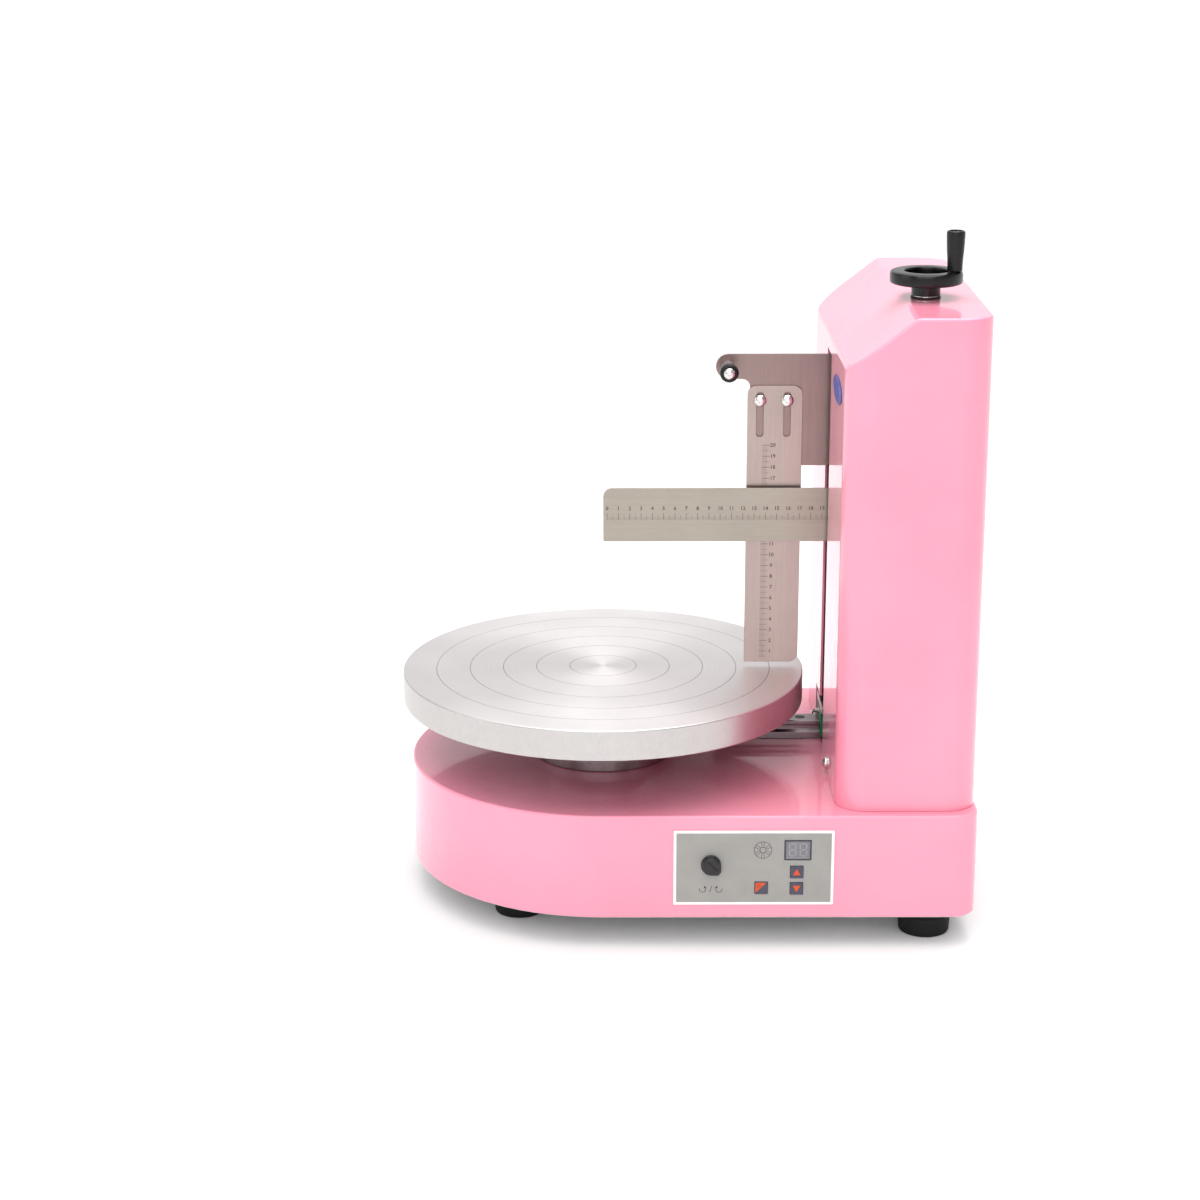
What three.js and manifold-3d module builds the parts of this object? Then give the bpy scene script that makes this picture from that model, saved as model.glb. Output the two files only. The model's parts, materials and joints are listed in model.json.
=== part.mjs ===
// A cake-decorating turntable machine: a motor-driven round table on a sheet metal base, and a column that
// carries a top scraper on a lead screw and a side scraper on a linear rail.
// Millimetres, +Z up. Parts are placed from the table's axis (X = Y = 0) and the floor (Z = 0), with the
// column at +X and the control panel facing -Y. The exported group is moved to the middle of its own box.
import * as THREE from 'three';
import { mergeVertices } from 'three/addons/utils/BufferGeometryUtils.js';
import Module from 'manifold-3d';

const wasm = await Module();
wasm.setup();

// Common sizes
const gap = 0.3;                  // between pieces that touch
const runningGap = 0.3;           // between a shaft and what it turns or slides in
const sheet = 2;                  // wall of the base and column shells
const floorPlate = 3;

// Table and base
const tableRadius = 180;
const tableTop = 199;             // height of the table's face above the floor
const tableRim = 26.8;
const tablePlate = 8;
const tableLip = 8;
const tableBoss = 60;             // radius of the boss under the table
const baseHalfWidth = 173;
const baseHeight = 93.6;
const baseCorner = 20;
const baseEdge = 2.5;
const footHeight = 26.6;
const footTopRadius = 23.75;
const footBottomRadius = 21.75;

// Column
const columnGap = 18.3;           // from the table's rim to the column's face
const columnDepth = 120.3;
const columnInset = 10.6;         // column side, in from the base's side
const columnHeight = 423.6;
const columnCorner = 26;
const columnSlant = 56;           // how far the slanted front runs in
const columnSlantDrop = 43.4;
const slotHalfWidth = 19;
const slotTopDrop = 57;           // from the column's top to the slot's top
const notchWidth = 38;            // extra width of the slot where the rail comes out
const notchHeight = 43;
const badgeHalfLength = 36;
const badgeHalfHeight = 11;

// Top scraper and its lift
const topScraperThickness = 2;
const topScraperHeight = 48.5;
const topScraperAboveTable = 118.4;
const topScraperEnd = 0.4;        // its free end, from the table's axis
const topScraperFront = -9;       // Y of its front face
const screwRadius = 4;
const screwOffset = 60;           // Y distance of the lead screw in front of the column's middle
const screwBehindFace = 74.2;     // X distance of the lead screw behind the column's face
const guideRadius = 5;
const guideSpacing = 64;

// Side scraper and its slide
const sideScraperThickness = 2;
const sideScraperWidth = 48.3;
const sideScraperBelowBracket = 27.8;  // its top edge, below the bracket's
const sideScraperFromRim = 4.7;
const sideScraperAboveTable = 4;
const clampSlotWidth = 6.4;
const clampSlotLength = 40.5;
const clampSlotFromTop = 5.2;
const clampSpacing = 23.8;
const clampBelowTop = 12.9;       // clamp screws, below the side scraper's top edge
const clampRadius = 3;
const bracketThickness = 3;
const bracketArmHeight = 22;
const bracketHeight = 99.6;
const bracketBehindBlade = 2.2;   // the plate's edge, in from the side scraper's edge
const gripRadius = 6.2;
const gripLength = 24;
const railHeight = 17.5;
const railWidth = 20;
const railLength = 210;
const railOffset = 33.4;          // Y of the rail's middle
const blockHeight = 30;
const blockWidth = 44;
const blockLength = 57;
const endCapLength = 9.7;
const carriagePlateThickness = 6;
const postThickness = 12;
const slideOut = 21;              // how far the side scraper slides out from rest
const slideClearance = 2.3;       // left behind the post at that end

// Handwheel
const wheelRadius = 30.75;
const wheelInner = 18.2;
const wheelRim = 10.8;
const wheelHub = 12.2;
const wheelHubHeight = 11;
const crankRadius = 24;
const crankAngle = -20;           // degrees, from +X
const crankHeight = 34;
const crankTop = 7.8;
const crankBottom = 6.4;

// Drive
const spindleRadius = 10;
const bearingOuter = 21;
const bearingWidth = 12;
const flangeRadius = 65;
const flangeThickness = 11.5;
const tablePulley = 45;
const motorPulley = 18;
const pulleyWidth = 16;
const motorDistance = 140;
const motorRadius = 32;
const beltThickness = 2;

// Control panel
const panelWidth = 136.7;
const panelHeight = 67.6;
const panelThickness = 0.8;
const panelFromColumn = 138.4;    // panel's left edge, in front of the column's face
const buttonSize = 11;
const buttonStand = 0.9;          // how far a button stands out of the panel
const knobRadius = 8.6;
const knobHeight = 6.8;
const knobShaft = 3;

// Places worked out from the sizes
const baseBottom = footHeight;
const baseTop = footHeight + baseHeight;
const tableBottom = tableTop - tableRim;
const columnFace = tableRadius + columnGap;
const columnRear = columnFace + columnDepth;
const baseRear = columnRear + 1.5;
const columnBottom = baseTop + gap;
const columnTop = baseTop + columnHeight;
const columnSide = baseHalfWidth - columnInset;
const slotTop = columnTop - slotTopDrop;
const screwX = columnFace + screwBehindFace;
const screwY = -screwOffset;
const railTop = baseTop + gap + railHeight;
const blockTop = baseTop + gap + blockHeight;
const blockFront = columnFace + 0.7;
const carriageTop = blockTop + gap + carriagePlateThickness;
const postRear = columnRear - sheet - slideOut - slideClearance;
const postFront = postRear - postThickness;
const bracketTop = slotTop - 2.8;
const sideLeft = tableRadius - sideScraperFromRim - sideScraperWidth;
const sideRight = sideLeft + sideScraperWidth;
const sideBottom = tableTop + sideScraperAboveTable;
const sideScraperHeight = bracketTop - sideScraperBelowBracket - sideBottom;
const sideTop = sideBottom + sideScraperHeight;
const clampHeight = sideTop - clampBelowTop;
const clampPlaces = [sideLeft + 11.1, sideLeft + 11.1 + clampSpacing];
const topScraperBottom = tableTop + topScraperAboveTable;
const topScraperTop = topScraperBottom + topScraperHeight;
const topScraperBack = topScraperFront + topScraperThickness;
const topScraperInner = columnFace + 40;
const pulleyBottom = baseBottom + 14;
const pulleyTop = pulleyBottom + pulleyWidth;
const wheelBottom = columnTop + 2.4;
const wheelTop = wheelBottom + wheelHubHeight + wheelRim - 1;
const panelLeft = columnFace - panelFromColumn;
const panelBottom = baseBottom + 13.3;
const panelFace = -baseHalfWidth - gap - panelThickness;
const knobPlace = [panelLeft + 31.9, panelBottom + 37];
const displayPlace = [panelLeft + 105.8, panelBottom + 50];
const displayHalf = [11.3, 9];
const buttonPlaces = {
  power_button: [panelLeft + 75, panelBottom + 15.5],
  up_button: [panelLeft + 105.1, panelBottom + 30],
  down_button: [panelLeft + 105.1, panelBottom + 15],
};

// Materials
const finishes = {
  pink: { color: 0xfeb4cb, roughness: 0.18, metalness: 0.0 },
  aluminium: { color: 0xd4d4d6, roughness: 0.35, metalness: 1.0 },
  stainless: { color: 0xb9aaa2, roughness: 0.4, metalness: 1.0 },
  steel: { color: 0xa8aaae, roughness: 0.3, metalness: 1.0 },
  zinc: { color: 0xc9c9c6, roughness: 0.35, metalness: 1.0 },
  brass: { color: 0xc9a050, roughness: 0.35, metalness: 1.0 },
  black: { color: 0x1c1c1e, roughness: 0.45, metalness: 0.0 },
  rubber: { color: 0x161618, roughness: 0.8, metalness: 0.0 },
  green: { color: 0x1f8a4c, roughness: 0.5, metalness: 0.0 },
  panel: { color: 0xafaeaa, roughness: 0.5, metalness: 0.0 },
  key: { color: 0x626070, roughness: 0.5, metalness: 0.0 },
  smoke: { color: 0x3a3a3e, roughness: 0.15, metalness: 0.0 },
  badge: { color: 0x2b4fa8, roughness: 0.3, metalness: 0.1 },
  board: { color: 0x1d6b3a, roughness: 0.6, metalness: 0.0 },
};

const assembly = new THREE.Group();

function place(name, geometry, finish) {
  const mesh = new THREE.Mesh(geometry, new THREE.MeshStandardMaterial(finishes[finish]));
  mesh.name = name;
  assembly.add(mesh);
}

// Solids: a closed geometry becomes a manifold, and manifolds are joined and cut
function solid(geometry) {
  const bare = new THREE.BufferGeometry();
  bare.setAttribute('position', geometry.getAttribute('position'));
  bare.setIndex(geometry.getIndex());
  const merged = mergeVertices(bare, 1e-4);
  return new wasm.Manifold(new wasm.Mesh({
    numProp: 3,
    vertProperties: new Float32Array(merged.getAttribute('position').array),
    triVerts: new Uint32Array(merged.getIndex().array),
  }));
}

function geometryOf(shape) {
  const mesh = shape.getMesh();
  const geometry = new THREE.BufferGeometry();
  geometry.setAttribute('position', new THREE.BufferAttribute(mesh.vertProperties, 3));
  geometry.setIndex(new THREE.BufferAttribute(mesh.triVerts, 1));
  geometry.computeVertexNormals();
  return geometry;
}

const joined = (first, ...others) =>
  geometryOf(others.reduce((whole, other) => whole.add(solid(other)), solid(first)));
const cut = (first, ...others) =>
  geometryOf(others.reduce((whole, other) => whole.subtract(solid(other)), solid(first)));
const common = (first, second) => geometryOf(solid(first).intersect(solid(second)));

function box(x0, x1, y0, y1, z0, z1) {
  return new THREE.BoxGeometry(x1 - x0, y1 - y0, z1 - z0)
    .translate((x0 + x1) / 2, (y0 + y1) / 2, (z0 + z1) / 2);
}

function rod(radius, x, y, z0, z1, sides = 16, topRadius = radius) {
  return new THREE.CylinderGeometry(topRadius, radius, z1 - z0, sides)
    .rotateX(Math.PI / 2).translate(x, y, (z0 + z1) / 2);
}

function rodAlongY(radius, x, z, y0, y1, sides = 16, farRadius = radius) {
  return new THREE.CylinderGeometry(farRadius, radius, y1 - y0, sides).translate(x, (y0 + y1) / 2, z);
}

// A turned piece from a closed profile of [radius, height] points, outer side first, going up
function turned(profile, x, y, sides = 28) {
  const closed = [...profile, profile[0]].map(([radius, height]) => new THREE.Vector2(radius, height));
  return new THREE.LatheGeometry(closed, sides).rotateX(Math.PI / 2).translate(x, y, 0);
}

// Points of an arc, from one angle to another in degrees
function arc(x, y, radius, from, to, steps) {
  return Array.from({ length: steps + 1 }, (_, i) => {
    const angle = THREE.MathUtils.degToRad(from + (to - from) * i / steps);
    return [x + radius * Math.cos(angle), y + radius * Math.sin(angle)];
  });
}

const outline = (points) => new THREE.Shape(points.map(([x, y]) => new THREE.Vector2(x, y)));

// A rectangle with its own radius at each corner, from the lower left one round to the upper left one
function roundedRectangle(x0, x1, y0, y1, radii, steps = 4) {
  const [lowerLeft, lowerRight, upperRight, upperLeft] = radii;
  return outline([
    ...arc(x0 + lowerLeft, y0 + lowerLeft, lowerLeft, 180, 270, steps),
    ...arc(x1 - lowerRight, y0 + lowerRight, lowerRight, 270, 360, steps),
    ...arc(x1 - upperRight, y1 - upperRight, upperRight, 0, 90, steps),
    ...arc(x0 + upperLeft, y1 - upperLeft, upperLeft, 90, 180, steps),
  ]);
}

function extrudeUp(shape, z0, z1, edge = 0) {
  const geometry = new THREE.ExtrudeGeometry(shape, {
    depth: z1 - z0 - 2 * edge, curveSegments: 12, bevelEnabled: edge > 0,
    bevelThickness: edge, bevelSize: edge, bevelOffset: -edge, bevelSegments: 1,
  });
  return geometry.translate(0, 0, z0 + edge);
}

// A plate whose outline is drawn in X and Z, between two Y planes
function extrudeAlongY(shape, y0, y1) {
  return new THREE.ExtrudeGeometry(shape, { depth: y1 - y0, curveSegments: 12, bevelEnabled: false })
    .rotateX(Math.PI / 2).translate(0, y1, 0);
}

// A bar whose section is drawn in Y and Z, between two X planes
function extrudeAlongX(shape, x0, x1) {
  return new THREE.ExtrudeGeometry(shape, { depth: x1 - x0, curveSegments: 12, bevelEnabled: false })
    .rotateX(Math.PI / 2).rotateZ(Math.PI / 2).translate(x0, 0, 0);
}

// Base: a D in plan, round about the table's axis and square behind
function basePlan(inset) {
  const half = baseHalfWidth - inset;
  const corner = baseCorner - inset;
  const rear = baseRear - inset;
  return outline([
    ...arc(0, 0, half, 90, 270, 36),
    ...arc(rear - corner, -half + corner, corner, 270, 360, 5),
    ...arc(rear - corner, half - corner, corner, 0, 90, 5),
  ]);
}

// The display's outline, grown on all sides, between two Y planes
function displayBox(grow, y0, y1) {
  const [[x, z], [halfWidth, halfHeight]] = [displayPlace, displayHalf];
  const [w, h] = [halfWidth + grow, halfHeight + grow];
  return box(x - w, x + w, y0, y1, z - h, z + h);
}

const bossRadius = bearingOuter + 10;
const inletPlace = [columnFace + 60, baseBottom + 46];
const inletWidth = 30;
const inletHeight = 22;

function baseHousing() {
  const wall = [-baseHalfWidth - 5, -baseHalfWidth + sheet + 5];
  const holes = Object.values(buttonPlaces).map(([x, z]) => {
    const half = buttonSize / 2 + 0.6;
    return box(x - half, x + half, ...wall, z - half, z + half);
  });
  const wiringHole = rod(14, screwX, baseHalfWidth - 60, baseTop - sheet - 5, baseTop + 5);
  return cut(
    extrudeUp(basePlan(0), baseBottom, baseTop, baseEdge),
    extrudeUp(basePlan(sheet), baseBottom - 5, baseTop - sheet),
    rod(bossRadius + 2 * gap, 0, 0, baseTop - sheet - 5, baseTop + 5, 28),
    wiringHole,
    rodAlongY(knobShaft + 0.6, knobPlace[0], knobPlace[1], ...wall),
    displayBox(0.7, ...wall),
    box(inletPlace[0] - inletWidth / 2 - gap, inletPlace[0] + inletWidth / 2 + gap,
      baseHalfWidth - sheet - 5, baseHalfWidth + 5,
      inletPlace[1] - inletHeight / 2 - gap, inletPlace[1] + inletHeight / 2 + gap),
    ...holes,
  );
}

const footPlaces = {
  foot_front_left: [-baseHalfWidth * 0.43, -baseHalfWidth * 0.52],
  foot_front_right: [-baseHalfWidth * 0.43, baseHalfWidth * 0.52],
  foot_rear_left: [baseRear - 40, -baseHalfWidth + 40],
  foot_rear_right: [baseRear - 40, baseHalfWidth - 40],
};

function foot(x, y) {
  return turned([
    [7, 0], [footBottomRadius - 1.5, 0], [footBottomRadius, 1.5], [footTopRadius, footHeight - gap],
    [3, footHeight - gap], [3, 10], [7, 10],
  ], x, y, 20);
}

place('base_housing', baseHousing(), 'pink');
place('base_plate', extrudeUp(basePlan(sheet + gap), baseBottom, baseBottom + floorPlate), 'zinc');
for (const [name, [x, y]] of Object.entries(footPlaces)) place(name, foot(x, y), 'rubber');

// Table drive: bearing housing, spindle, belt and gear motor
const hubBottom = tableBottom - 20;
const upperBearing = hubBottom - 16;
const lowerBearing = baseTop - 50;

function bearingHousing() {
  const bore = bearingOuter + gap;
  const shoulder = bearingOuter - 4;
  const bottom = lowerBearing - 4;
  const top = hubBottom - 2;
  const flangeBottom = baseTop + gap;
  const flangeTop = flangeBottom + flangeThickness;
  return turned([
    [bossRadius, bottom], [bossRadius, flangeBottom], [flangeRadius, flangeBottom],
    [flangeRadius, flangeTop - 2], [flangeRadius - 3, flangeTop], [40, flangeTop], [40, top], [bore, top],
    [bore, upperBearing - gap], [shoulder, upperBearing - gap],
    [shoulder, lowerBearing + bearingWidth + gap], [bore, lowerBearing + bearingWidth + gap], [bore, bottom],
  ], 0, 0);
}

function bearing(x, y, z0, inner, outer, width) {
  return turned([[outer, z0], [outer, z0 + width], [inner, z0 + width], [inner, z0]], x, y, 20);
}

function table() {
  const bottomOfPlate = tableTop - tablePlate;
  const bore = spindleRadius + gap;
  const edge = 1.2;
  return new THREE.LatheGeometry([
    [0, tableTop - tablePlate - 5], [bore, tableTop - tablePlate - 5], [bore, tableBottom],
    [tableBoss - 3, tableBottom], [tableBoss, bottomOfPlate], [tableRadius - tableLip - 3, bottomOfPlate],
    [tableRadius - tableLip, tableBottom], [tableRadius - edge, tableBottom],
    [tableRadius, tableBottom + edge], [tableRadius, tableTop - edge], [tableRadius - edge, tableTop],
    [0, tableTop],
  ].map(([radius, height]) => new THREE.Vector2(radius, height)), 60).rotateX(Math.PI / 2);
}

function tableHub() {
  const bore = spindleRadius + gap;
  return turned([
    [28, hubBottom], [28, hubBottom + 8], [50, hubBottom + 8], [50, tableBottom - gap],
    [bore, tableBottom - gap], [bore, hubBottom],
  ], 0, 0);
}

function pulley(radius, x, bore) {
  const flange = radius + 4;
  return turned([
    [flange, pulleyBottom], [flange, pulleyBottom + 1.5], [radius, pulleyBottom + 1.5],
    [radius, pulleyTop - 1.5], [flange, pulleyTop - 1.5], [flange, pulleyTop], [bore, pulleyTop],
    [bore, pulleyBottom],
  ], x, 0);
}

// Motor pulley turned in one piece with the stub shaft that enters the gearbox
function drivePulley() {
  const flange = motorPulley + 4;
  return new THREE.LatheGeometry([
    [0, pulleyBottom], [flange, pulleyBottom], [flange, pulleyBottom + 1.5],
    [motorPulley, pulleyBottom + 1.5],
    [motorPulley, pulleyTop - 1.5], [flange, pulleyTop - 1.5], [flange, pulleyTop], [5, pulleyTop],
    [5, pulleyTop + 18], [0, pulleyTop + 18],
  ].map(([radius, height]) => new THREE.Vector2(radius, height)), 24)
    .rotateX(Math.PI / 2).translate(motorDistance, 0, 0);
}

// The belt's loop: an arc round each pulley, joined by the two straight runs
function beltLoop(extra) {
  const large = tablePulley + gap + extra;
  const small = motorPulley + gap + extra;
  const wrap = THREE.MathUtils.radToDeg(Math.acos((large - small) / motorDistance));
  return [...arc(0, 0, large, wrap, 360 - wrap, 20), ...arc(motorDistance, 0, small, -wrap, wrap, 10)];
}

function driveBelt() {
  const loop = outline(beltLoop(beltThickness));
  loop.holes.push(outline(beltLoop(0)));
  return extrudeUp(loop, pulleyBottom + 2, pulleyTop - 2);
}

const motorBracketTop = pulleyTop + 6;
const bracketHalfLength = 40;
const bracketHalfWidth = 52;
const bracketFlange = 12;
const bracketSheet = 3;

function motorBracket() {
  const [x0, x1] = [motorDistance - bracketHalfLength, motorDistance + bracketHalfLength];
  const bottom = baseBottom + floorPlate + gap;
  const [outer, inner] = [bracketHalfWidth, bracketHalfWidth - bracketSheet];
  const flange = outer + bracketFlange;
  return joined(
    cut(box(x0, x1, -outer, outer, motorBracketTop - bracketSheet, motorBracketTop),
      rod(9, motorDistance, 0, pulleyTop, tableTop)),
    box(x0, x1, -outer, -inner, bottom, motorBracketTop),
    box(x0, x1, inner, outer, bottom, motorBracketTop),
    box(x0, x1, -flange, -inner, bottom, bottom + bracketSheet),
    box(x0, x1, inner, flange, bottom, bottom + bracketSheet),
  );
}

function gearMotor() {
  const bottom = motorBracketTop + gap;
  const gearboxTop = bottom + 18;
  const top = baseTop - sheet - 3;
  return cut(
    joined(rod(motorRadius, motorDistance, 0, bottom, gearboxTop, 24),
      rod(motorRadius - 4, motorDistance, 0, gearboxTop - 1, top, 24)),
    rod(5 + runningGap, motorDistance, 0, bottom - 5, bottom + 12.5),
  );
}

const bearings = { bearing_upper: upperBearing, bearing_lower: lowerBearing };
place('bearing_housing', bearingHousing(), 'aluminium');
for (const [name, z] of Object.entries(bearings)) {
  place(name, bearing(0, 0, z, spindleRadius + runningGap, bearingOuter, bearingWidth), 'steel');
}
place('spindle', rod(spindleRadius, 0, 0, pulleyBottom - 2, tableTop - tablePlate - 6, 24), 'steel');
place('turntable', table(), 'aluminium');
place('turntable_hub', tableHub(), 'aluminium');
place('table_pulley', pulley(tablePulley, 0, spindleRadius + gap), 'aluminium');
place('motor_pulley', drivePulley(), 'aluminium');
place('drive_belt', driveBelt(), 'rubber');
place('motor_bracket', motorBracket(), 'zinc');
place('gear_motor', gearMotor(), 'steel');

// Control panel, in the base's -Y side
function panelOverlay() {
  const y = [panelFace - 5, panelFace + 5];
  const plate = extrudeAlongY(
    roundedRectangle(panelLeft, panelLeft + panelWidth, panelBottom, panelBottom + panelHeight,
      [1, 1, 1, 1], 2),
    panelFace, panelFace + panelThickness);
  const half = buttonSize / 2 + gap;
  return cut(plate,
    rodAlongY(knobShaft + 0.6, knobPlace[0], knobPlace[1], ...y),
    displayBox(gap, ...y),
    ...Object.values(buttonPlaces).map(([x, z]) => box(x - half, x + half, ...y, z - half, z + half)));
}

function button([x, z]) {
  const half = buttonSize / 2;
  return extrudeAlongY(roundedRectangle(x - half, x + half, z - half, z + half, [0.8, 0.8, 0.8, 0.8], 2),
    panelFace - buttonStand, panelFace + 8);
}

function directionKnob() {
  const [x, z] = knobPlace;
  const back = panelFace - 0.5;
  const front = back - knobHeight;
  return joined(
    rodAlongY(knobRadius - 0.8, x, z, front, back, 24, knobRadius),
    rodAlongY(knobShaft, x, z, back - 1, panelFace + 6),
    extrudeAlongY(outline([[x + 1, z], [x + 4.5, z - 5.6], [x + 5.6, z - 4.5], [x, z + 1]]),
      front - 0.8, front + 1),
  );
}

const switchFront = panelFace + 6.5;
const switchHalf = 10;
const boardFront = panelFace + 10;
place('panel_overlay', panelOverlay(), 'panel');
place('display_window', displayBox(0, panelFace - 0.2, panelFace + 2.4), 'smoke');
place('direction_knob', directionKnob(), 'black');
for (const [name, spot] of Object.entries(buttonPlaces)) place(name, button(spot), 'key');
place('selector_switch', box(knobPlace[0] - switchHalf, knobPlace[0] + switchHalf, switchFront,
  switchFront + 2 * switchHalf, knobPlace[1] - switchHalf, knobPlace[1] + switchHalf), 'black');
place('control_board', box(panelLeft + 60, panelLeft + panelWidth - 4, boardFront, boardFront + 1.6,
  panelBottom + 4, panelBottom + panelHeight - 4), 'board');

// Power inlet in the base's +Y side, a recess with three pins
function powerInlet() {
  const [x, z] = inletPlace;
  const face = baseHalfWidth + gap;
  const [w, h] = [inletWidth / 2, inletHeight / 2];
  const shell = cut(
    joined(box(x - w, x + w, face - 22, face + 1, z - h, z + h),
      box(x - w - 8, x + w + 8, face, face + 2.5, z - h - 3, z + h + 3)),
    box(x - w + 3, x + w - 3, face - 14, face + 9, z - h + 3, z + h - 3));
  const pins = [[-7, -2.5], [0, 2.5], [7, -2.5]].map(([dx, dz]) =>
    box(x + dx - 1, x + dx + 1, face - 15, face - 4, z + dz - 2, z + dz + 2));
  return joined(shell, ...pins);
}

place('power_inlet', powerInlet(), 'black');

// Column: rounded in plan, with a slanted front edge at the top
function columnSolid(inset, bottom) {
  const radius = columnCorner - inset;
  const [face, rear] = [columnFace + inset, columnRear - inset];
  const [side, top] = [columnSide - inset, columnTop - inset];
  const slope = columnSlantDrop / columnSlant;
  const slantInset = inset * Math.hypot(columnSlant, columnSlantDrop) / columnSlant;
  const slantFoot = columnTop - columnSlantDrop - slantInset + inset * slope;
  const slantHead = face + (top - slantFoot) / slope;
  const plan = extrudeUp(
    roundedRectangle(face, rear, -side, side, [radius, radius, radius, radius], 7), bottom, top + 5);
  const profile = extrudeAlongY(outline([
    [face - 5, bottom], [rear + 5, bottom], [rear + 5, top], [slantHead, top], [face, slantFoot],
    [face - 5, slantFoot - 5 * slope],
  ]), -side - 5, side + 5);
  return common(plan, profile);
}

const columnBoltPlaces = { column_bolt_front: -66, column_bolt_rear: 66 };
const columnBoltHeight = baseTop + 8.8;
const boltHole = 3.3;

function rodAlongX(radius, y, z, x0, x1, sides = 16) {
  return new THREE.CylinderGeometry(radius, radius, x1 - x0, sides)
    .rotateZ(Math.PI / 2).translate((x0 + x1) / 2, y, z);
}

function columnShell() {
  const wall = [columnFace - 5, columnFace + sheet + 5];
  return cut(
    columnSolid(0, columnBottom),
    columnSolid(sheet, columnBottom - 5),
    box(...wall, -slotHalfWidth, slotHalfWidth, columnBottom - 5, slotTop),
    box(...wall, 0, slotHalfWidth + notchWidth, columnBottom - 5, columnBottom + notchHeight),
    rod(screwRadius + 3, screwX, screwY, columnTop - sheet - 5, columnTop + 5),
    ...Object.values(columnBoltPlaces).map((y) => rodAlongX(boltHole, y, columnBoltHeight, ...wall)),
  );
}

const tabFace = columnFace + sheet + gap;
const frameFront = columnFace + 46.7;
const frameRear = columnRear - sheet - 10;
const frameBottom = baseTop + gap;
const frameTop = columnTop - sheet - 8;
const frameHalf = guideSpacing / 2 + 20;
const frameInner = screwY + frameHalf;
const guideYs = { guide_rod_front: screwY - guideSpacing / 2, guide_rod_rear: screwY + guideSpacing / 2 };

// Welded frame inside the column: a foot, a back and a top that hold the guide rods and the lead screw
function columnFrame() {
  const [y0, y1] = [screwY - frameHalf, frameInner];
  const boltY = columnBoltPlaces.column_bolt_front;
  return cut(
    joined(
      box(frameFront, frameRear, y0, y1, frameBottom, frameBottom + 6),
      box(frameRear - 4, frameRear, y0, y1, frameBottom, frameTop),
      box(screwX - 14, frameRear, y0, y1, frameTop - 6, frameTop),
      box(tabFace, frameFront + 1, boltY - 14, boltY + 14, frameBottom, frameBottom + 6),
      box(tabFace, tabFace + 4, boltY - 14, boltY + 14, frameBottom, columnBoltHeight + 10),
    ),
    ...Object.values(guideYs).map((y) => rod(guideRadius + gap, screwX, y, frameBottom - 5, frameTop + 5)),
    rod(screwBearingOuter + gap, screwX, screwY, frameBottom - 5, frameTop + 5),
    rodAlongX(boltHole, boltY, columnBoltHeight, tabFace - 5, tabFace + 9),
  );
}

// Angle that takes the other bolt of the column's shell
function shellTab() {
  const y = columnBoltPlaces.column_bolt_rear;
  const inner = slotHalfWidth + notchWidth + 2.5;
  return cut(
    joined(box(tabFace, tabFace + 4, inner, y + 18, frameBottom, columnBoltHeight + 10),
      box(tabFace, tabFace + 30, inner, y + 18, frameBottom, frameBottom + 4)),
    rodAlongX(boltHole, y, columnBoltHeight, tabFace - 5, tabFace + 9));
}

// Button-head bolt along X, its head outside the column's face
function columnBolt(y) {
  return joined(
    rodAlongX(boltHole - gap, y, columnBoltHeight, columnFace - 2, tabFace + 8),
    new THREE.CylinderGeometry(5.2, 4, 4, 16).rotateZ(Math.PI / 2)
      .translate(columnFace - gap - 2, y, columnBoltHeight));
}

const screwBearingOuter = 9;
const screwBearings = { screw_bearing_lower: frameBottom, screw_bearing_upper: frameTop - 6 };
place('column_shell', columnShell(), 'pink');
place('column_frame', columnFrame(), 'zinc');
place('shell_tab', shellTab(), 'zinc');
for (const [name, y] of Object.entries(columnBoltPlaces)) place(name, columnBolt(y), 'steel');
for (const [name, z] of Object.entries(screwBearings)) {
  place(name, bearing(screwX, screwY, z, screwRadius + runningGap, screwBearingOuter, 6), 'steel');
}
for (const [name, y] of Object.entries(guideYs)) {
  place(name, rod(guideRadius, screwX, y, frameBottom, frameTop), 'steel');
}

// Oval badge on the near half of the column's face
const badge = new THREE.Shape();
badge.absellipse(0, 0, badgeHalfLength, badgeHalfHeight, 0, 2 * Math.PI);
place('badge', new THREE.ExtrudeGeometry(badge, { depth: 0.8, curveSegments: 12, bevelEnabled: false })
  .rotateX(Math.PI / 2).rotateZ(Math.PI / 2)
  .translate(columnFace - gap - 0.8, -columnSide / 2 - 3, slotTop - 17), 'badge');

// Lift: carriage, nut and top scraper
const liftX = [screwX - 11, screwX + 16];
const liftZ = [topScraperBottom + 3, topScraperTop - 5.5];
const scraperScrewXs = [columnFace + 22, columnFace + 34];
const scraperScrewRadius = 2.4;
const scraperScrewHeight = (liftZ[0] + liftZ[1]) / 2;
const nutBody = screwRadius + 3;

function liftCarriage() {
  const armBack = topScraperFront - gap;
  return cut(
    joined(
      box(...liftX, screwY - guideSpacing / 2 - 12, armBack, ...liftZ),
      box(scraperScrewXs[0] - 8, liftX[0] + 1, armBack - 6, armBack, ...liftZ)),
    ...Object.values(guideYs).map((y) =>
      rod(guideRadius + runningGap, screwX, y, liftZ[0] - 5, liftZ[1] + 5)),
    rod(nutBody + gap, screwX, screwY, liftZ[0] - 5, liftZ[1] + 5),
    ...scraperScrewXs.map((x) =>
      rodAlongY(scraperScrewRadius + gap, x, scraperScrewHeight, armBack - 9, armBack + 5)));
}

function liftNut() {
  const bore = screwRadius + runningGap;
  const top = liftZ[0] - gap;
  return turned([
    [11, top - 3.5], [11, top], [nutBody, top], [nutBody, top + 16], [bore, top + 16], [bore, top - 3.5],
  ], screwX, screwY, 16);
}

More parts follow.
